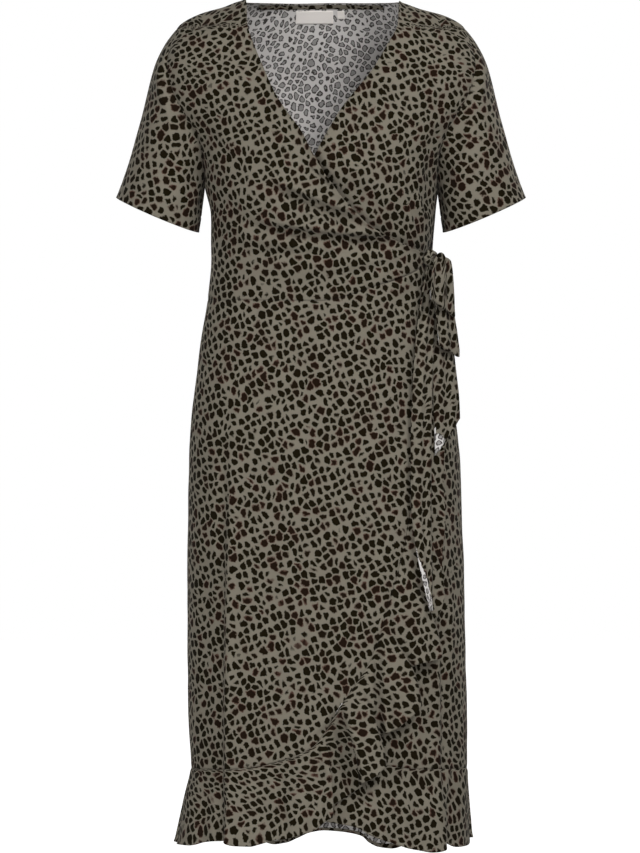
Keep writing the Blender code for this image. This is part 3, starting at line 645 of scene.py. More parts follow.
def printedReverse():
    look = printLook
    material = newMaterial("printedClothReverse", look["reverseRoughness"])
    add = nodeMaker(material)
    coords, inside, _ = spotNodes(add, look["reverseCloser"])
    spot = spanNode(add, inside, *look["reverseOutline"])
    away = mathNode(add, "ABSOLUTE", mathNode(add, "SUBTRACT", inside, look["ringAt"]))
    ring = spanNode(add, away, *look["ringLine"], 0.0, look["ringStrength"])
    body = mixColour(add, spot, colour(look["reverseGround"]), colour(look["reverseSpot"]))
    return finished(material, mixColour(add, ring, body, colour(look["reverseRing"])), weaveNodes(add, coords))


def wovenLabel():
    look = labelLook
    material = newMaterial("wovenLabel", look["roughness"])
    add = nodeMaker(material)
    ribs = bandNode(add, add("UVMap", uv_map="cloth").outputs["UV"], look["ribs"], "Y")
    shade = mixColour(add, ribs, colour(look["dark"]), colour(look["pale"]))
    return finished(material, shade, bumpNode(add, ribs, look["bump"]))


faceCloth = printedFace()
reverseCloth = printedReverse()
labelCloth = wovenLabel()
print("materials ready")


def placed(thing):
    bpy.context.scene.collection.objects.link(thing)
    return thing


def clothPiece(
    node, points, flat, looks=None, wall=garment["cloth"], closed=False, hemRows=0, turned=None
):  # a face's look is 0 for plain, 1 where it is turned over and 2 along a hem
    name = node + "_cloth"
    rows, columns = points.shape[:2]
    lastColumn = columns if closed else columns - 1
    i, j = np.meshgrid(np.arange(rows - 1), np.arange(lastColumn), indexing="ij")
    i, j = i.ravel(), j.ravel()
    k = (j + 1) % columns
    faces = np.stack([i * columns + j, (i + 1) * columns + j, (i + 1) * columns + k, i * columns + k], axis=-1)
    mesh = bpy.data.meshes.new(name)
    mesh.from_pydata((points.reshape(-1, 3) / perMetre).tolist(), [], faces.tolist())
    corners = np.stack([flat[i, j], flat[i + 1, j], flat[i + 1, j + 1], flat[i, j + 1]], axis=1)
    mesh.uv_layers.new(name="cloth").data.foreach_set("uv", (corners / perMetre).ravel())
    mesh.shade_smooth()
    look = np.where(i >= rows - 1 - hemRows, 2, 0)
    if turned is not None:
        look[turned] = 1
    mesh.polygons.foreach_set("material_index", look)
    for material in looks or (faceCloth, reverseCloth, faceCloth, faceCloth):
        mesh.materials.append(material)
    piece = placed(bpy.data.objects.new(name, mesh))
    solid = piece.modifiers.new("wall", "SOLIDIFY")
    solid.thickness = wall / perMetre
    solid.offset = -1
    solid.material_offset = 1
    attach(piece, "root")
    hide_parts(node)


def gridOf(columns, rows, across=(0, 1), down=(0, 1)):
    return np.meshgrid(np.linspace(*across, columns + 1), np.linspace(*down, rows + 1))


def seamDip(*distances):  # the cloth dips where it runs into a seam; distances in millimetres
    dip = 0
    for distance in distances:
        dip = np.maximum(dip, np.exp(-((distance / garment["seamReach"]) ** 2)))
    return -garment["seamDip"] * dip


def edgeRuns(points):  # how far each point is from the first and last column, and from the first and last row
    runs = []
    for axis in (1, 0):
        run = runLength(points, axis)
        runs += [run, np.take(run, [-1], axis=axis) - run]
    return runs


def sheetOnFigure(node, around, height, rise, centre, down=0.0, hemRows=0):
    base = figure(around, height)
    rise = rise + skirtFolded(around, height) + rippled(base[..., 0], base[..., 2] + down) + garment["wall"]
    points = base + outward(around, height) * rise[..., None]
    clothPiece(node, points, evened(points, flatPlace(around, height, centre)), hemRows=hemRows)
    return points


def evened(points, flat):  # spreads the flat places across so that each step is as long as on the cloth
    step = np.diff(flat, axis=1)
    size = np.maximum(np.linalg.norm(step, axis=-1), 1e-6)
    long = np.linalg.norm(np.diff(points, axis=1), axis=-1)
    step = step * np.clip(long / size, 0.7, 2.0)[..., None]
    run = np.concatenate([0 * step[:, :1], np.cumsum(step, axis=1)], axis=1)
    middle = run.shape[1] // 2
    return flat[:, middle : middle + 1] + run - run[:, middle : middle + 1]


# Bodice.
frontCentre, backCentre = 90.0, 270.0  # angles that the flat cloth is laid out from
rippleDrop = 400.0  # so that the back's ripples aren't the front's
bodiceLook = {
    "columns": 104,
    "backColumns": 144,
    "upperRows": 62,
    "lowerRows": 66,
    "crowding": 1.15,
    "edgeRoll": 1.9,  # the neck edges are turned under, so they stand a little proud
    "edgeRollReach": 3.6,
    "gape": 2.5,  # how far the wrap edge stands off between the neck point and the knot
    "gapeReach": 8.0,
    "gapeTop": -170.0,
    "gapeEnd": -352.0,
    "gapeFades": (50.0, 40.0),
    "neckClear": 3.0,  # how far past the neck's end the shoulder seam starts to dip
}
overBodiceCreases = rowsOf(
    Crease, (-84, -256, -10, -288, 62, -316, 9.0, -11.0, 0.35, 0.5),
    (-112, -314, 12, -340, 124, -340, 11.0, -14.0, 0.30, 0.7), (-60, -284, 0, -300, 62, -330, 3.5, 3.5, 0.0, 1.5),
    (-44, -214, 4, -252, 40, -284, 4.0, -2.6, 0.5, 0.5), (-6, -228, 16, -250, 34, -272, 2.4, -1.6, 0.6),
    (60, -318, 92, -328, 124, -342, 2.0, 1.8, 0.8), (-120, -352, 10, -360, 138, -356, 8.0, -1.8),
    (20, -392, 70, -376, 136, -362, 6.0, -1.6), (-150, -262, -120, -300, -70, -340, 9.0, -1.6),
    (-150, -300, -130, -335, -95, -365, 8.0, -1.3), (-176, -168, -150, -196, -112, -236, 8.0, -1.8, 0.4),
    (-192, -120, -168, -150, -128, -176, 9.0, -1.5), (-150, -60, -138, -110, -134, -160, 10.0, -1.2),
)
underBodiceCreases = rowsOf(
    Crease, (6, -236, 66, -292, 146, -338, 17.0, -7.0, 0.1), (112, -240, 121, -290, 142, -348, 2.6, 2.0, 0.7),
    (128, -222, 134, -262, 147, -314, 2.6, 1.8, 0.7), (151, -205, 153, -250, 150, -310, 8.0, -4.5, 0.2),
    (60, -232, 100, -268, 148, -318, 8.0, -2.0), (176, -168, 156, -198, 120, -240, 8.0, -1.8, 0.4),
    (192, -120, 170, -150, 132, -180, 9.0, -1.6), (96, -210, 126, -250, 152, -290, 7.0, -1.6),
    (150, -60, 140, -110, 138, -150, 10.0, -1.2),
)
backBodiceCreases = rowsOf(
    Crease, (170, -180, 140, -214, 96, -250, 9.0, -2.2), (-170, -180, -144, -210, -100, -252, 9.0, -2.2),
    (150, -330, 80, -356, 10, -350, 10.0, -2.6, 0.4), (-150, -340, -70, -368, 0, -372, 9.0, -2.2, 0.4),
    (140, -390, 70, -404, 20, -396, 7.0, -1.6), (-120, -300, -60, -330, 20, -322, 9.0, -1.6),
    (100, -70, 96, -130, 100, -180, 12.0, -1.5, 0.2), (-104, -70, -98, -120, -92, -190, 12.0, -1.5, 0.2),
)


def turnedRound(angle, ownLeft):  # from a front's own side seam to the wearer's left
    return angle if ownLeft else 180 - angle


def crowdedColumns(columns, crowding):
    even = np.linspace(0, 1, columns + 1)
    return 1 - (1 - even) ** crowding


def buildFront(node, place, table, ownLeft, u, v, lift, seams):
    own = u[:, ::-1] if ownLeft else u  # columns run from the wearer's right to the left on both
    angle, height = place(own, v)
    around = turnedRound(angle, ownLeft)
    base = figure(around, height)
    dips = creased(base, table)
    if ownLeft:  # the over front's creases press into the cloth below them
        hidden = np.minimum(creased(base, overBodiceCreases + overSkirtCreases), 0)
        dips = dips + hidden * ease((overEdgeHeight(base[..., 0]) - base[..., 2]) / garment["pressFade"])
        rise = pressedBelow(base)
    else:
        rise = lift(own, v, angle)
    sheetOnFigure(node, around, height, rise + dips + seams(base, ownLeft), frontCentre)


overSkirtCreases = rowsOf(
    Crease, (147, -372, 112, -420, 62, -520, 8.0, -1.8, 0.4), (142, -368, 92, -398, 24, -452, 7.0, -1.5, 0.4),
    (150, -384, 136, -450, 118, -580, 8.0, -1.9, 0.4), (138, -372, 60, -402, -40, -428, 7.0, -1.0),
    (112, -560, 92, -700, 60, -860, 12.0, -1.8), (70, -640, 52, -780, 18, -960, 14.0, -1.8),
    (-60, -560, -66, -760, -70, -1000, 16.0, -1.6), (-133, -560, -141, -900, -138, -1420, 7.0, -6.5, 0.75),
    (-58, -1070, -56, -1110, -54, -1170, 5.0, -2.5, 0.5), (-70, -1070, -66, -1090, -62, -1112, 3.0, -1.6, 0.5),
    (20, -984, 28, -1052, 48, -1138, 9.0, -13.0), (79, -884, 77, -985, 86, -1090, 4.5, -6.5, 0.6),
    (-2, -1040, 6, -1070, 14, -1110, 5.0, 3.0, 0.0), (88, -960, 92, -1000, 96, -1050, 6.0, -5.0),
    (-10, -1042, 12, -1026, 34, -992, 5.0, -2.4, 0.5), (-64, -1010, -30, -1000, 10, -960, 9.0, -1.5),
    (-20, -700, -28, -860, -36, -1040, 15.0, -1.4),
)
underSkirtCreases = rowsOf(
    Crease, (172, -800, 173, -960, 173, -1180, 6.0, -6.5, 0.5), (163, -860, 163, -980, 163, -1180, 5.0, 3.0, 0.0),
    (186, -700, 188, -850, 186, -1000, 7.0, -2.0), (120, -1000, 122, -1040, 124, -1084, 8.0, -1.8, 0.4),
    (150, -900, 148, -1000, 146, -1084, 8.0, -1.6),
)
backSkirtCreases = rowsOf(
    Crease, (80, -470, 96, -640, 104, -900, 13.0, -2.4), (-76, -470, -90, -660, -96, -920, 13.0, -2.4),
    (6, -460, 4, -600, -6, -800, 14.0, -2.0), (40, -760, 46, -920, 48, -1084, 12.0, -2.2, 0.4),
    (-38, -800, -44, -940, -48, -1084, 12.0, -2.2, 0.4), (130, -430, 134, -520, 142, -640, 10.0, -1.8),
    (-130, -430, -134, -520, -140, -640, 10.0, -1.8),
)


def buildBodice():
    look = bodiceLook
    upper = np.linspace(0, 1, look["upperRows"] + 1)
    v = np.concatenate([upper, np.linspace(1, 2, look["lowerRows"] + 1)[1:]])
    u, v = np.meshgrid(crowdedColumns(look["columns"], look["crowding"]), v)

    def lift(u, v, angle):
        return layerAt(angle - armholeAngle(np.minimum(v, 1), False)) + drapeFolded(u, v)

    def seams(base, ownLeft):
        first, last, top, bottom = edgeRuns(base)
        side, toEdge = (last, first) if ownLeft else (first, last)
        proud = look["edgeRoll"] * np.exp(-((toEdge / look["edgeRollReach"]) ** 2))
        if not ownLeft:
            height = base[..., 2]
            above, below = look["gapeFades"]
            along = ease((look["gapeTop"] - height) / above) * ease((height - look["gapeEnd"]) / below)
            proud = proud + look["gape"] * np.exp(-((toEdge / look["gapeReach"]) ** 2)) * along
        return seamDip(side, top, bottom) + proud

    over, under = frontBodice(overNeck, overWaist), frontBodice(underNeck, underWaist)
    buildFront("right_front_bodice", over, overBodiceCreases, False, u, v, lift, seams)
    buildFront("left_front_bodice", under, underBodiceCreases, True, u, v, None, seams)
    u, v = np.meshgrid(np.linspace(0, 1, look["backColumns"] + 1), v[:, 0])
    angle, height = backBodice(u, v)
    base = figure(angle, height)
    side, other, top, bottom = edgeRuns(base)
    onShoulder = np.abs(base[..., 0]) - garment["neckHalf"] > look["neckClear"]
    rise = seamDip(side, other, np.where(onShoulder, top, math.inf), bottom) + creased(base, backBodiceCreases)
    return sheetOnFigure("back_bodice", angle, height, rise, backCentre, rippleDrop)


backPanel = buildBodice()
print("bodice made")

skirtLook = {"columns": 112, "rows": 190, "crowding": 1.15, "backColumns": 160}


def buildSkirt():
    look = skirtLook
    u, v = np.meshgrid(crowdedColumns(look["columns"], look["crowding"]), np.linspace(0, 1, look["rows"] + 1))

    def lift(u, v, angle):
        return layerAt(angle)

    def seams(base, ownLeft=True):
        return seamDip(*edgeRuns(base))

    over, under = frontSkirt(overWaist, overSeam), frontSkirt(underWaist, underSeam)
    buildFront("right_front_skirt", over, overSkirtCreases, False, u, v, lift, seams)
    buildFront("left_front_skirt", under, underSkirtCreases, True, u, v, None, seams)
    u, v = gridOf(look["backColumns"], look["rows"])
    angle, height = backSkirt(u, v)
    base = figure(angle, height)
    rise = seams(base) + creased(base, backSkirtCreases)
    sheetOnFigure("back_skirt", angle, height, rise, backCentre, rippleDrop)


buildSkirt()
print("skirt made")

# Ruffles. The free edge in the view from the front: by how far along its seam, where it is and how far it stands off.
Free = namedtuple("Free", "along x z rise")
ruffleLook = {
    "underEnd": 0.62,
    "underDrop": 2.0,  # how far the under ruffle falls back
    "dropFade": 24.0,  # degrees from the side seam over which that drop comes in
    "swing": 2.0,  # how soon the folds open below the seam, 1 for evenly
    "rows": 40,
    "step": 1.7,  # between columns along the seam
    "puckerPitch": 9.5,
    "puckerRise": 1.5,
    "puckerReach": 16.0,
    "puckerStart": 2.5,
    "puckerWander": ((23.0, 0.8, 0.0), (8.7, 0.5, 1.0)),  # waves along the seam: length, size and start
    "puckerEven": 0.65,
    "puckerUneven": ((31.0, 0.35, 2.0),),
    "seamPull": (0.55, 0.45),  # how deep the seam dips, and how much that wanders along it
    "hemRoll": 0.8,
    "hemReach": 4.0,
    "hemRows": 2,  # rows that show the hem's turning on the inside
    "backColumns": 330,
    "backLength": 460.0,
    "backFullness": 1.2,  # how much longer the gathered strip is than its seam
    "backWave": 6.0,
    "backPitch": 46.0,
    "backWander": ((152.0, 0.30, 0.0), (87.0, 0.18, 0.0)),
    "backLevel": -1190.0,
    "backFade": 0.03,  # share of the width over which the waves come in from a side seam
}
overFree = rowsOf(
    Free, (0, -205, -1191.5, 0), (10, -183, -1193, 3), (24, -164, -1187.5, 1), (42, -143, -1185.5, 0),
    (52, -130, -1184.5, 0), (57, -131, -1187, 4), (62, -126, -1191, 8), (70, -116, -1193, 8), (84, -98, -1193, 5),
    (97, -85, -1189.5, 3), (118, -62, -1183, 7), (130, -52, -1182, 1), (142, -38, -1179, 6), (160, -23, -1174.5, 8),
    (173, -11, -1171, 4), (184, -1, -1163.5, 5), (194, 7, -1156.5, 9), (203, 17, -1147, 12), (208, 13, -1141, 4),
    (216, 22, -1131, 0), (228, 42, -1117, 1), (236, 57, -1107, 3), (240, 51, -1106, 13), (246, 56, -1104, 22),
    (262, 69, -1097, 26), (278, 83, -1082, 25), (284, 87, -1077, 18), (289, 81, -1070, 8), (300, 80, -1052, 4),
    (314, 84, -1034, 4), (330, 95, -1030, 13), (350, 112, -1016, 20), (370, 128, -999, 22), (377, 132, -993, 16),
    (383, 126, -985, 7), (396, 122, -962, 4), (412, 122, -941, 5), (425, 131, -936, 11), (440, 145, -932, 15),
    (454, 158, -927, 15), (460, 160, -920, 10), (470, 156, -905, 5), (490, 154, -880, 4), (508, 160, -862, 9),
    (530, 164, -838, 11), (545, 163, -818, 6), (565, 164, -790, 5), (600, 166, -732, 9), (640, 166, -676, 5),
    (690, 166, -619, 7), (740, 163, -562.5, 4), (790, 159, -491.5, 4), (845, 154, -421, 2), (899, 152, -365.5, 0),
)
underFree = rowsOf(
    Free, (0, 210, -1183, 0), (5, 207, -1192, 1), (12, 194, -1194.5, 3), (20, 183, -1190.5, 1), (26, 174, -1186, -2),
    (30, 173, -1194.5, 5), (34, 169, -1199, 7), (45, 154, -1201, 5), (60, 135, -1197.5, 2), (72, 120, -1194.5, 4),
    (86, 106, -1189, 1), (104, 86, -1183, 4), (120, 69, -1176, 1), (136, 52, -1166, 3), (158, 30, -1160.5, 0),
    (178, 10, -1157.5, 0), (205, -20, -1150, 2), (245, -52, -1122, -1), (310, -90, -1066, 2), (400, -118, -975, 0),
    (520, -130, -860, 1),
)
# The back hem from the wearer's right to the left, at the height it hangs to.
Hang = namedtuple("Hang", "x z")
backHem = rowsOf(
    Hang, (-209, -1192), (-190, -1187), (-150, -1178), (-105, -1182), (-84, -1192), (-65, -1197.5), (-48, -1196),
    (-33, -1189), (-16, -1181), (6, -1177.5), (27, -1178.5), (41, -1180.5), (58, -1186), (67, -1194.5), (81, -1200.5),
    (98, -1203), (112, -1200), (126, -1192), (150, -1184), (180, -1184), (209, -1183),
)


def wandering(length, waves):  # keeps what repeats from looking even
    return sum(size * np.sin(length / pitch + start) for pitch, size, start in waves)


def puckered(length, distance):
    look = ruffleLook
    deep = look["puckerEven"] + wandering(length, look["puckerUneven"])
    swell = 1 - np.exp(-distance / look["puckerStart"])
    waves = deep * np.sin(2 * np.pi * length / look["puckerPitch"] + wandering(length, look["puckerWander"]))
    return look["puckerRise"] * waves * swell * np.exp(-distance / look["puckerReach"])


def freePlace(free, length, ownLeft):
    x, z, rise = (readColumn(free, key, "along", length) for key in ("x", "z", "rise"))
    return turnedRound(angleOf(x / halfWidth(z, x > 0, False)), ownLeft), z, rise


def hemmed(v):  # the narrow rolled hem along a free edge
    toEdge = (1 - v) * garment["ruffleDepth"]
    return ruffleLook["hemRoll"] * np.exp(-((toEdge / ruffleLook["hemReach"]) ** 2))


def frontRuffle(node, seam, ownLeft, free, table, last=1.0):
    look = ruffleLook
    total = tableLengths(seam)[-1]
    share, v = gridOf(int(total * last / look["step"]), look["rows"], across=(0, last))
    length = share * total
    rootAngle, rootHeight = edgeCurve(seam)(share)
    freeAngle, freeHeight, freeRise = freePlace(free, length, ownLeft)
    opened = 1 - (1 - v) ** look["swing"]
    angle = rootAngle + (freeAngle - rootAngle) * opened
    height = rootHeight + (freeHeight - rootHeight) * v
    around = turnedRound(angle, ownLeft)
    base = figure(around, height)
    distance = v * garment["ruffleDepth"]
    rise = freeRise * opened + puckered(length, distance) + hemmed(v) + creased(base, table)
    pull, wander = look["seamPull"]
    rise = rise + seamDip(distance) * (pull + wander * np.sin(length / 9 + 2 * np.sin(length / 31)))
    if ownLeft:
        rise = rise + np.minimum(creased(base, overSkirtCreases), 0)
        rise = rise - look["underDrop"] * v * ease(angle / look["dropFade"])
        around, height, rise = around[:, ::-1], height[:, ::-1], rise[:, ::-1]
    else:
        rise = rise + layerAt(angle)
    sheetOnFigure(node, around, height, rise, frontCentre, hemRows=look["hemRows"])


def buildRuffles():
    look = ruffleLook
    frontRuffle("right_front_ruffle", overSeam, False, overFree, overSkirtCreases)
    frontRuffle("left_front_ruffle", underSeam, True, underFree, underSkirtCreases, look["underEnd"])
    u, v = gridOf(look["backColumns"], look["rows"])
    angle = 360 - 180 * u
    hem = readColumn(backHem, "z", "x", figure(angle, look["backLevel"] + 0 * u)[..., 0])
    height = garment["ruffleSeam"] + (hem - garment["ruffleSeam"]) * v
    distance = v * garment["ruffleDepth"]
    length = u * look["backLength"]
    wander = wandering(2 * np.pi * length, look["backWander"])
    waves = 0.5 - 0.5 * np.cos(2 * np.pi * (length / look["backPitch"] + wander))
    rise = look["backWave"] * v**1.2 * waves * ease(u / look["backFade"]) * ease((1 - u) / look["backFade"])
    rise = rise + puckered(length * look["backFullness"], distance) + hemmed(v) + seamDip(distance)
    rise = rise + creased(figure(angle, height), backSkirtCreases)
    sheetOnFigure("back_hem_ruffle", angle, height, rise, backCentre, hemRows=look["hemRows"])


buildRuffles()
print("ruffles made")

# Sleeve rings in the front view: the outer and inner ends of each ring, and its half depth.
Ring = namedtuple("Ring", "along outerX outerZ innerX innerZ depth")
sleeveRings = rowsOf(
    Ring, (0.00, 203, -36, 164, -251, 57), (0.12, 221, -60, 165, -261, 61), (0.27, 235, -88, 166, -273, 64),
    (0.46, 246, -132, 168, -288, 66), (0.65, 258, -180, 170, -303, 66), (0.84, 273, -232, 172, -315, 65),
    (1.00, 290, -276, 174, -325, 64),
)
sleeveLook = {
    "flatRadius": 61.0,
    "around": 168,
    "rows": 84,
    "armGap": -0.6,
    "underarmGap": 0.6,
    "cuffDip": 5.0,
    "hemAt": 22.0,  # the hem's stitching, from the edge
    "stitchDepth": 0.6,
    "crowding": 1.15,
    "headShare": 0.45,  # how far down the sleeve takes the armhole's shape
    "girth": 420.0,  # sizes that the creases are laid out by
    "length": 180.0,
    "creaseEnd": 20.0,
    "rippleCloser": 2.0,
    "rippleShift": 60.0,
    "creaseFade": 40.0,  # how far above the hem the creases start to run out
    "stitchReach": 1.6,
    "hemFold": 0.5,
    "foldReach": 3.0,
}
# Creases on a sleeve: turn about it (0 outside, 0.25 front, 0.5 inside, 0.75 back) by length, in shares.
SleeveCrease = namedtuple("SleeveCrease", "turn0 along0 turn1 along1 width depth")
sleeveCreases = rowsOf(
    SleeveCrease, (0.40, 0.06, 0.33, 0.62, 9, -2.6), (0.46, 0.10, 0.42, 0.80, 9, -2.2),
    (0.34, 0.05, 0.24, 0.46, 9, -1.8), (0.20, 0.10, 0.17, 0.70, 12, -1.3), (0.60, 0.08, 0.66, 0.60, 9, -2.4),
    (0.70, 0.06, 0.78, 0.50, 10, -1.8), (0.54, 0.10, 0.56, 0.85, 9, -2.0), (0.84, 0.12, 0.86, 0.72, 12, -1.2),
    (0.04, 0.18, 0.05, 0.75, 12, -0.9),
)


def sleeveCreased(turn, t):
    rise = 0
    for c in sleeveCreases:
        share = np.clip((t - c.along0) / (c.along1 - c.along0), 0, 1)
        middle = c.turn0 + (c.turn1 - c.turn0) * share
        away = (np.mod(turn - middle + 0.5, 1) - 0.5) * sleeveLook["girth"]
        past = np.maximum(np.maximum(c.along0 - t, t - c.along1), 0) * sleeveLook["length"]
        fade = ease(share / creaseLook["fade"]) * ease((1 - share) / creaseLook["fade"])
        rise = rise + c.depth * fade * np.exp(-((away / c.width) ** 2) - (past / sleeveLook["creaseEnd"]) ** 2)
    return rise


def buildSleeve(node, ownLeft):
    look = sleeveLook
    side = 1 if ownLeft else -1

    def armholeAt(turn):
        v = np.where(turn < 0.5, turn, 1 - turn) * 2
        back = turn > 0.5
        angle = armholeAngle(v, back)
        point = figure(turnedRound(np.where(back, -angle, angle), ownLeft), armholeHeight(v))
        toUnderarm = ((1 - np.cos(2 * np.pi * turn)) / 2) ** 4
        point[..., 0] += side * (look["armGap"] + look["underarmGap"] * toUnderarm)
        return point

    def ringAt(turn, t):
        columns = (readColumn(sleeveRings, name, "along", t) for name in Ring._fields[1:])
        outerX, outerZ, innerX, innerZ, depth = columns
        swing = (1 + np.cos(2 * np.pi * turn)) / 2
        x = innerX + (outerX - innerX) * swing + look["underarmGap"] * (1 - swing) + look["armGap"]
        z = innerZ + (outerZ - innerZ) * swing
        z = z - look["cuffDip"] * t**2 * np.maximum(np.sin(2 * np.pi * turn), 0)
        return np.stack([side * x, -depth * np.sin(2 * np.pi * turn), z], axis=-1)

    turns = np.linspace(0, 1, look["around"], endpoint=False)
    turn, t = np.meshgrid(turns, np.linspace(0, 1, look["rows"] + 1) ** look["crowding"])
    own = np.mod(1 - turn if ownLeft else turn, 1)
    stay = (1 - ease(t / look["headShare"]))[..., None]
    base = ringAt(own, t) + stay * (armholeAt(own) - ringAt(own, 0 * t))
    wrapped = np.concatenate([base[:, -1:], base, base[:, :1]], axis=1)
    normal = unitOf(np.cross(np.gradient(base, axis=0), wrapped[:, 2:] - wrapped[:, :-2]))
    top, bottom = edgeRuns(base)[2:]
    stitch = -look["stitchDepth"] * np.exp(-(((bottom - look["hemAt"]) / look["stitchReach"]) ** 2))
    fold = look["hemFold"] * np.exp(-((bottom / look["foldReach"]) ** 2))
    creases = sleeveCreased(own, t) * ease(bottom / look["creaseFade"])
    ripple = rippled(base[..., 1] * look["rippleCloser"] + look["rippleShift"], base[..., 2])
    rise = garment["wall"] + seamDip(top) + stitch + fold + creases + ripple
    points = base + normal * rise[..., None]
    start, end = (
        np.array([side * (row.outerX + row.innerX) / 2, 0, (row.outerZ + row.innerZ) / 2])
        for row in (sleeveRings[0], sleeveRings[-1])
    )
    line = unitOf(end - start)
    away = wrapped[:, 1:] - start
    out = away @ np.array([-side * line[2], 0, side * line[0]])
    turned = np.unwrap(np.arctan2(-away[..., 1], out), axis=1)
    flat = np.stack([turned * look["flatRadius"] * side, -(away @ line)], axis=-1)
    clothPiece(node, points, flat, closed=True)


buildSleeve("right_sleeve", False)
buildSleeve("left_sleeve", True)
print("sleeves made")

# Binding, label and size tab inside the back neck.
trimLook = {
    "gap": 0.45,  # from the back panel's inner side
    "endGap": 1.8,  # and more towards the neck's ends
    "columns": 60,
    "rows": 12,
    "level": 6,  # the back panel's row that places across are read from
}
# Their sides, top and bottom as seen from the front, how thick they are and how far the middle stands proud.
Trim = namedtuple("Trim", "left right top bottom wall proud cloth slot")
trims = {
    "back_neck_binding": Trim(-90, 90, 0.3, 6.5, 0.9, 0.5, faceCloth, "printed_cloth"),
    "neck_label": Trim(-35, 17, 9.0, 27.5, 0.5, 0.1, labelCloth, "label_tape"),
    "size_tab": Trim(23, 33, 9.0, 20.5, 0.5, 0.1, labelCloth, "label_tape"),
}


def buildTrim(node, trim):
    look = trimLook
    facing = unitOf(np.cross(np.gradient(backPanel, axis=0), np.gradient(backPanel, axis=1)))
    middle = backPanel[look["level"]]
    places = np.linspace(-trim.right, -trim.left, look["columns"] + 1)
    columns = np.interp(places, -middle[:, 0], np.arange(len(middle)))
    drops = -backPanel[:, backPanel.shape[1] // 2, 2]
    rows = np.interp(np.linspace(trim.top, trim.bottom, look["rows"] + 1), drops, np.arange(len(drops)))
    points, facing = (readGrid(grid, rows[:, None], columns[None, :]) for grid in (backPanel, facing))
    gap = garment["cloth"] + look["gap"] + look["endGap"] * (points[..., :1] / garment["neckHalf"]) ** 2
    roundOff = trim.proud * (1 - np.linspace(-1, 1, look["rows"] + 1)[:, None, None] ** 2)
    points = (points - (gap + roundOff) * facing)[:, ::-1]
    flat = np.stack([runLength(points, 1), -runLength(points, 0)], axis=-1)
    clothPiece(node, points, flat, (trim.cloth, trim.cloth), trim.wall)


for node, trim in trims.items():
    buildTrim(node, trim)
print("neck trim made")

# The tie: centre line, the turn of its width in plan (0 faces the front, 90 the wearer's left), and half width.
Station = namedtuple("Station", "x y z turn half")
loopFront = rowsOf(
    Station, (163.05, -66.05, -367, 41, 4), (168, -70, -361, 42, 10), (171, -77, -366, 43, 17),
    (171, -80, -390, 43, 21), (171, -80, -415, 43, 23), (172, -78, -430, 43, 23), (172, -74, -433, 43, 23),
    (171, -71, -426, 43, 23), (170, -70.5, -405, 43, 18), (167, -70, -379, 43, 6),
)
loopBack = rowsOf(
    Station, (164.4, -59.0, -369, 60, 3.5), (168, -60, -380, 48, 8), (171, -61, -398, 42, 13), (174, -61, -430, 43, 17),
    (179, -65, -470, 43, 20), (181, -67, -487, 43, 20), (181, -64, -494, 43, 20), (180, -60.5, -487, 43, 20),
    (178, -57.5, -470, 43, 19), (171, -51, -425, 43, 15), (166, -52, -388, 42, 6),
)
endShort = rowsOf(
    Station, (158, -56.3, -374.4, 42, 3), (162, -47, -388, 42, 9), (166, -44, -420, 42, 15), (172, -52, -480, 42, 20),
    (176, -63, -540, 42, 23), (178, -71, -580, 42, 24), (179, -75, -615, 42, 24),
)
endLong = rowsOf(
    Station, (152.5, -63.1, -374.0, 38, 2.5), (151.5, -62, -386, 38, 7), (150, -62, -420, 36, 12),
    (146, -77, -480, 32, 15), (143, -92, -540, 30, 16), (141, -104, -626, 28, 16.5), (141.5, -109, -711, 26, 15.5),
    (144.5, -113, -764, 24, 13), (149, -116, -804, 22, 9), (155.5, -119, -860, 20, 2.2),
)
tieLook = {
    "columns": 22,
    "pleats": 2.0,  # soft folds that run along each length
    "drift": 3.4,  # how far the folds wander across along one length
    "narrowRise": 1.2,  # how much deeper they are where the cloth is drawn narrow
    "foldsFrom": 0.04,  # share of the length over which they start
    "gather": 1.3,  # how much deeper the folds are beside the knot
    "gatherReach": 42.0,
    "sideFolds": 3.7,  # finer folds beside the knot
    "slopeFrom": 0.55,
    "clear": 0.4,
}
# Each length of the tie: how far one edge drops in the middle and at the end, how far its centre stands off, how deep
# and where its folds are, and the corner that shows the reverse: where it starts along and how far across it reaches.
Length = namedtuple("Length", "table rows bend slope crown rise seed start reach", defaults=(1.0, 1.0))
tieLengths = {
    "tie_loop_front": Length(loopFront, 110, -14.0, 0.0, 1.0, 2.3, 0.4),
    "tie_loop_back": Length(loopBack, 120, -8.0, 0.0, 1.0, 2.3, 1.3),
    "tie_end_short": Length(endShort, 90, 0.0, 26.0, 1.5, 2.0, 2.2, 0.86, 0.35),
    "tie_end_long": Length(endLong, 150, 0.0, 0.0, 1.5, 2.0, 0.9, 0.82, 0.75),
}


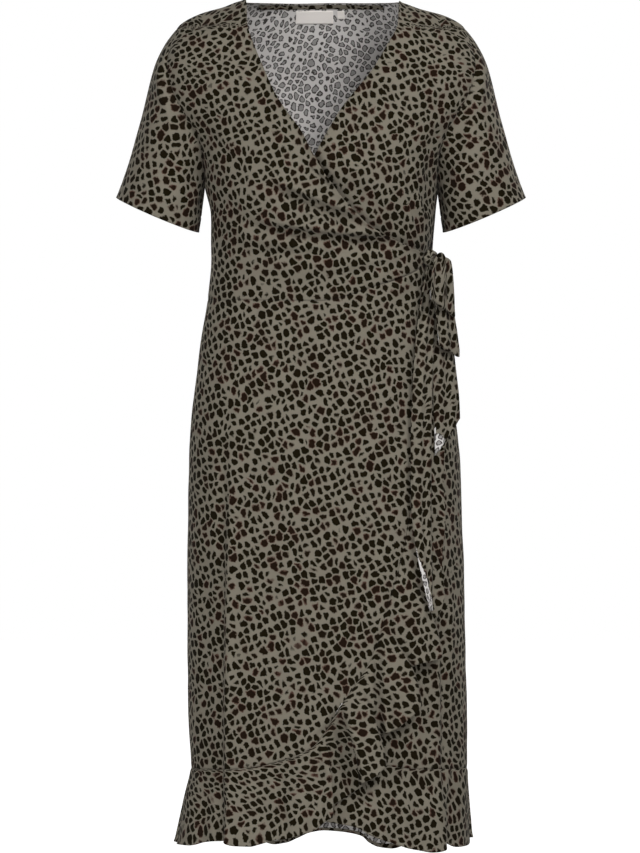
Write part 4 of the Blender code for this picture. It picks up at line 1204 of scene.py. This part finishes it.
def buildStrip(node, length):
    look = tieLook
    spots = np.array([row[:3] for row in length.table], float)
    along = runLength(spots, 0)
    across, down = gridOf(look["columns"], length.rows, across=(-1, 1), down=(0, along[-1]))
    middle = np.stack([smoothCurve(along, spots[:, k], down) for k in range(3)], axis=-1)
    turn = np.radians(smoothCurve(along, [row.turn for row in length.table], down))
    half = smoothCurve(along, [row.half for row in length.table], down)
    width = np.stack([np.cos(turn), np.sin(turn), 0 * turn], axis=-1)
    normal = unitOf(np.cross(np.gradient(middle, axis=0), width))
    share = down / along[-1]
    toKnot = np.minimum(down, along[-1] - down if length.start == 1 else down)
    gathered = 1 + look["gather"] * np.exp(-((toKnot / look["gatherReach"]) ** 2))
    pleat = np.sin(np.pi * look["pleats"] * across + length.seed + look["drift"] * share)
    pleat = pleat + 0.5 * np.sin(np.pi * look["sideFolds"] * across - 2 * length.seed) * (gathered - 1)
    deep = length.rise + look["narrowRise"] * (1 - half / half.max())
    deep = deep * 0.5 * gathered * ease(share / look["foldsFrom"])
    rise = length.crown * (1 - across**2) + deep * pleat + look["clear"]
    points = middle + width * (across * half)[..., None] + normal * rise[..., None]
    slope = length.slope * ease((share - look["slopeFrom"]) / (1 - look["slopeFrom"]))
    points[..., 2] += across * (length.bend * np.sin(np.pi * share) ** 2 + slope)
    flat = np.stack([across * half.max(), -runLength(points, 0)], axis=-1)
    side = (across[:-1, :-1] + 1) / 2
    turned = side < length.reach * ease((share[:-1, :-1] - length.start) / max(1 - length.start, 0.01))
    clothPiece(node, points, flat, turned=turned.ravel() & (length.start < 1))


knotLook = {
    "centre": (154.8, -59.2, -362.6),
    "half": (10.0, 9.0, 12.0),
    "wraps": 3,
    "groove": 0.09,
    "twist": 2.5,
    "unevenness": 0.02,
    "cap": 0.06,
    "flatRadius": 10.0,
    "columns": 72,
    "rows": 44,
}


def buildKnot():
    look = knotLook
    turns = np.linspace(0, 2 * np.pi, look["columns"], endpoint=False)
    turn, tilt = np.meshgrid(turns, np.linspace(look["cap"], np.pi - look["cap"], look["rows"]))
    unit = np.stack([np.sin(tilt) * np.cos(turn), np.cos(tilt), np.sin(tilt) * np.sin(turn)], axis=-1)
    spin = np.arctan2(unit[..., 2], unit[..., 0])
    groove = 1 - look["groove"] * np.cos(look["wraps"] * spin + look["twist"] * unit[..., 1]) ** 2
    groove = groove + look["unevenness"] * np.sin(9 * unit[..., 1] + 2 * spin)
    points = np.array(look["centre"]) + unit * np.array(look["half"]) * groove[..., None]
    u = np.concatenate([turn, turn[:, :1] + 2 * np.pi], axis=1)
    v = np.concatenate([tilt, tilt[:, :1]], axis=1)
    flat = np.stack([u, v], axis=-1) * look["flatRadius"]
    clothPiece("tie_knot", points, flat, closed=True, looks=(faceCloth, faceCloth))


for node, length in tieLengths.items():
    buildStrip(node, length)
buildKnot()
print("tie made")

# What a piece would be cut as: its flat sides in metres, how the cloth is held and what it rests on. No piece is given
# one here.
Cut = namedtuple("Cut", "width length held rests")

# Floor, light and camera.
studio = {
    "floor": -1.45,
    "radius": 36.0,
    "sides": 36,
    "floorShades": (0.9, 0.85),  # its own white and its glow
    "wallShades": (0.0, 1.0),
    "wallFoot": 0.1,  # how far the backdrop starts below the floor
    "roughness": 0.9,
    "ambient": 0.33,
    "lamps": (  # place, size in metres, watts
        ("middle", (0.2, -3.8, 0.3), 1.2, 27.0),
        ("left", (-2.7, -2.6, -0.6), 1.6, 40.0),
        ("right", (1.7, -2.7, 2.2), 1.4, 100.0),
        ("low", (0.0, -3.2, -2.6), 1.2, 23.0),
        ("behindLeft", (-2.4, 3.2, 0.6), 1.6, 42.0),
        ("behindRight", (2.4, 3.2, 0.6), 1.6, 42.0),
    ),
    "lit": (0, 0, -0.55),  # where the lamps point
    "sensor": 36.0,
    "farthest": 200.0,
    "distance": 20.0,
    "frameHeight": 1.2087,
    "aim": (-0.0014, -0.6005),
}


def glowing(name, base, glow):
    shades = {"Base Color": colour((base,) * 3), "Emission Color": colour((1, 1, 1)), "Emission Strength": glow}
    return newMaterial(name, studio["roughness"], shades)


def backdropMesh(name, corners, faces, material):  # white, and it doesn't light the cloth
    mesh = bpy.data.meshes.new(name)
    mesh.from_pydata(corners, [], faces)
    mesh.materials.append(material)
    thing = placed(bpy.data.objects.new(name, mesh))
    thing.visible_diffuse = False
    thing.visible_glossy = False
    thing.visible_shadow = False


def buildStudio():
    look = studio
    low, sides = look["floor"], look["sides"]
    turns = [2 * math.pi * k / sides for k in range(sides)]
    ring = [(look["radius"] * math.cos(turn), look["radius"] * math.sin(turn)) for turn in turns]
    floor = [(x, y, low) for x, y in ring]
    backdropMesh("floor", floor, [tuple(range(sides))], glowing("paleFloor", *look["floorShades"]))
    corners = [(x, y, z) for z in (low - look["wallFoot"], look["radius"]) for x, y in ring]
    walls = [(k, (k + 1) % sides, (k + 1) % sides + sides, k + sides) for k in range(sides)]
    walls.append(tuple(range(sides, 2 * sides)))
    backdropMesh("backdrop", corners, walls, glowing("whiteBackdrop", *look["wallShades"]))
    world = bpy.data.worlds.new("studio")
    world.use_nodes = True
    world.node_tree.nodes["Background"].inputs["Color"].default_value = (1, 1, 1, 1)
    world.node_tree.nodes["Background"].inputs["Strength"].default_value = look["ambient"]
    bpy.context.scene.world = world
    bpy.context.scene.view_settings.view_transform = "Standard"
    for name, place, size, energy in look["lamps"]:
        lamp = bpy.data.lights.new(name, "AREA")
        lamp.size = size
        lamp.energy = energy
        light = placed(bpy.data.objects.new(name, lamp))
        light.location = place
        x, y, z = (aim - own for aim, own in zip(look["lit"], place))
        light.rotation_euler = (math.atan2(math.hypot(x, y), -z), 0, math.atan2(y, x) - math.pi / 2)
    lens = bpy.data.cameras.new("camera")
    lens.sensor_width = look["sensor"]
    lens.lens = look["sensor"] * look["distance"] / look["frameHeight"]
    lens.clip_end = look["farthest"]
    camera = placed(bpy.data.objects.new("camera", lens))
    camera.location = (look["aim"][0], -look["distance"], look["aim"][1])
    camera.rotation_euler = (math.pi / 2, 0, 0)
    bpy.context.scene.camera = camera


buildStudio()

print("done")
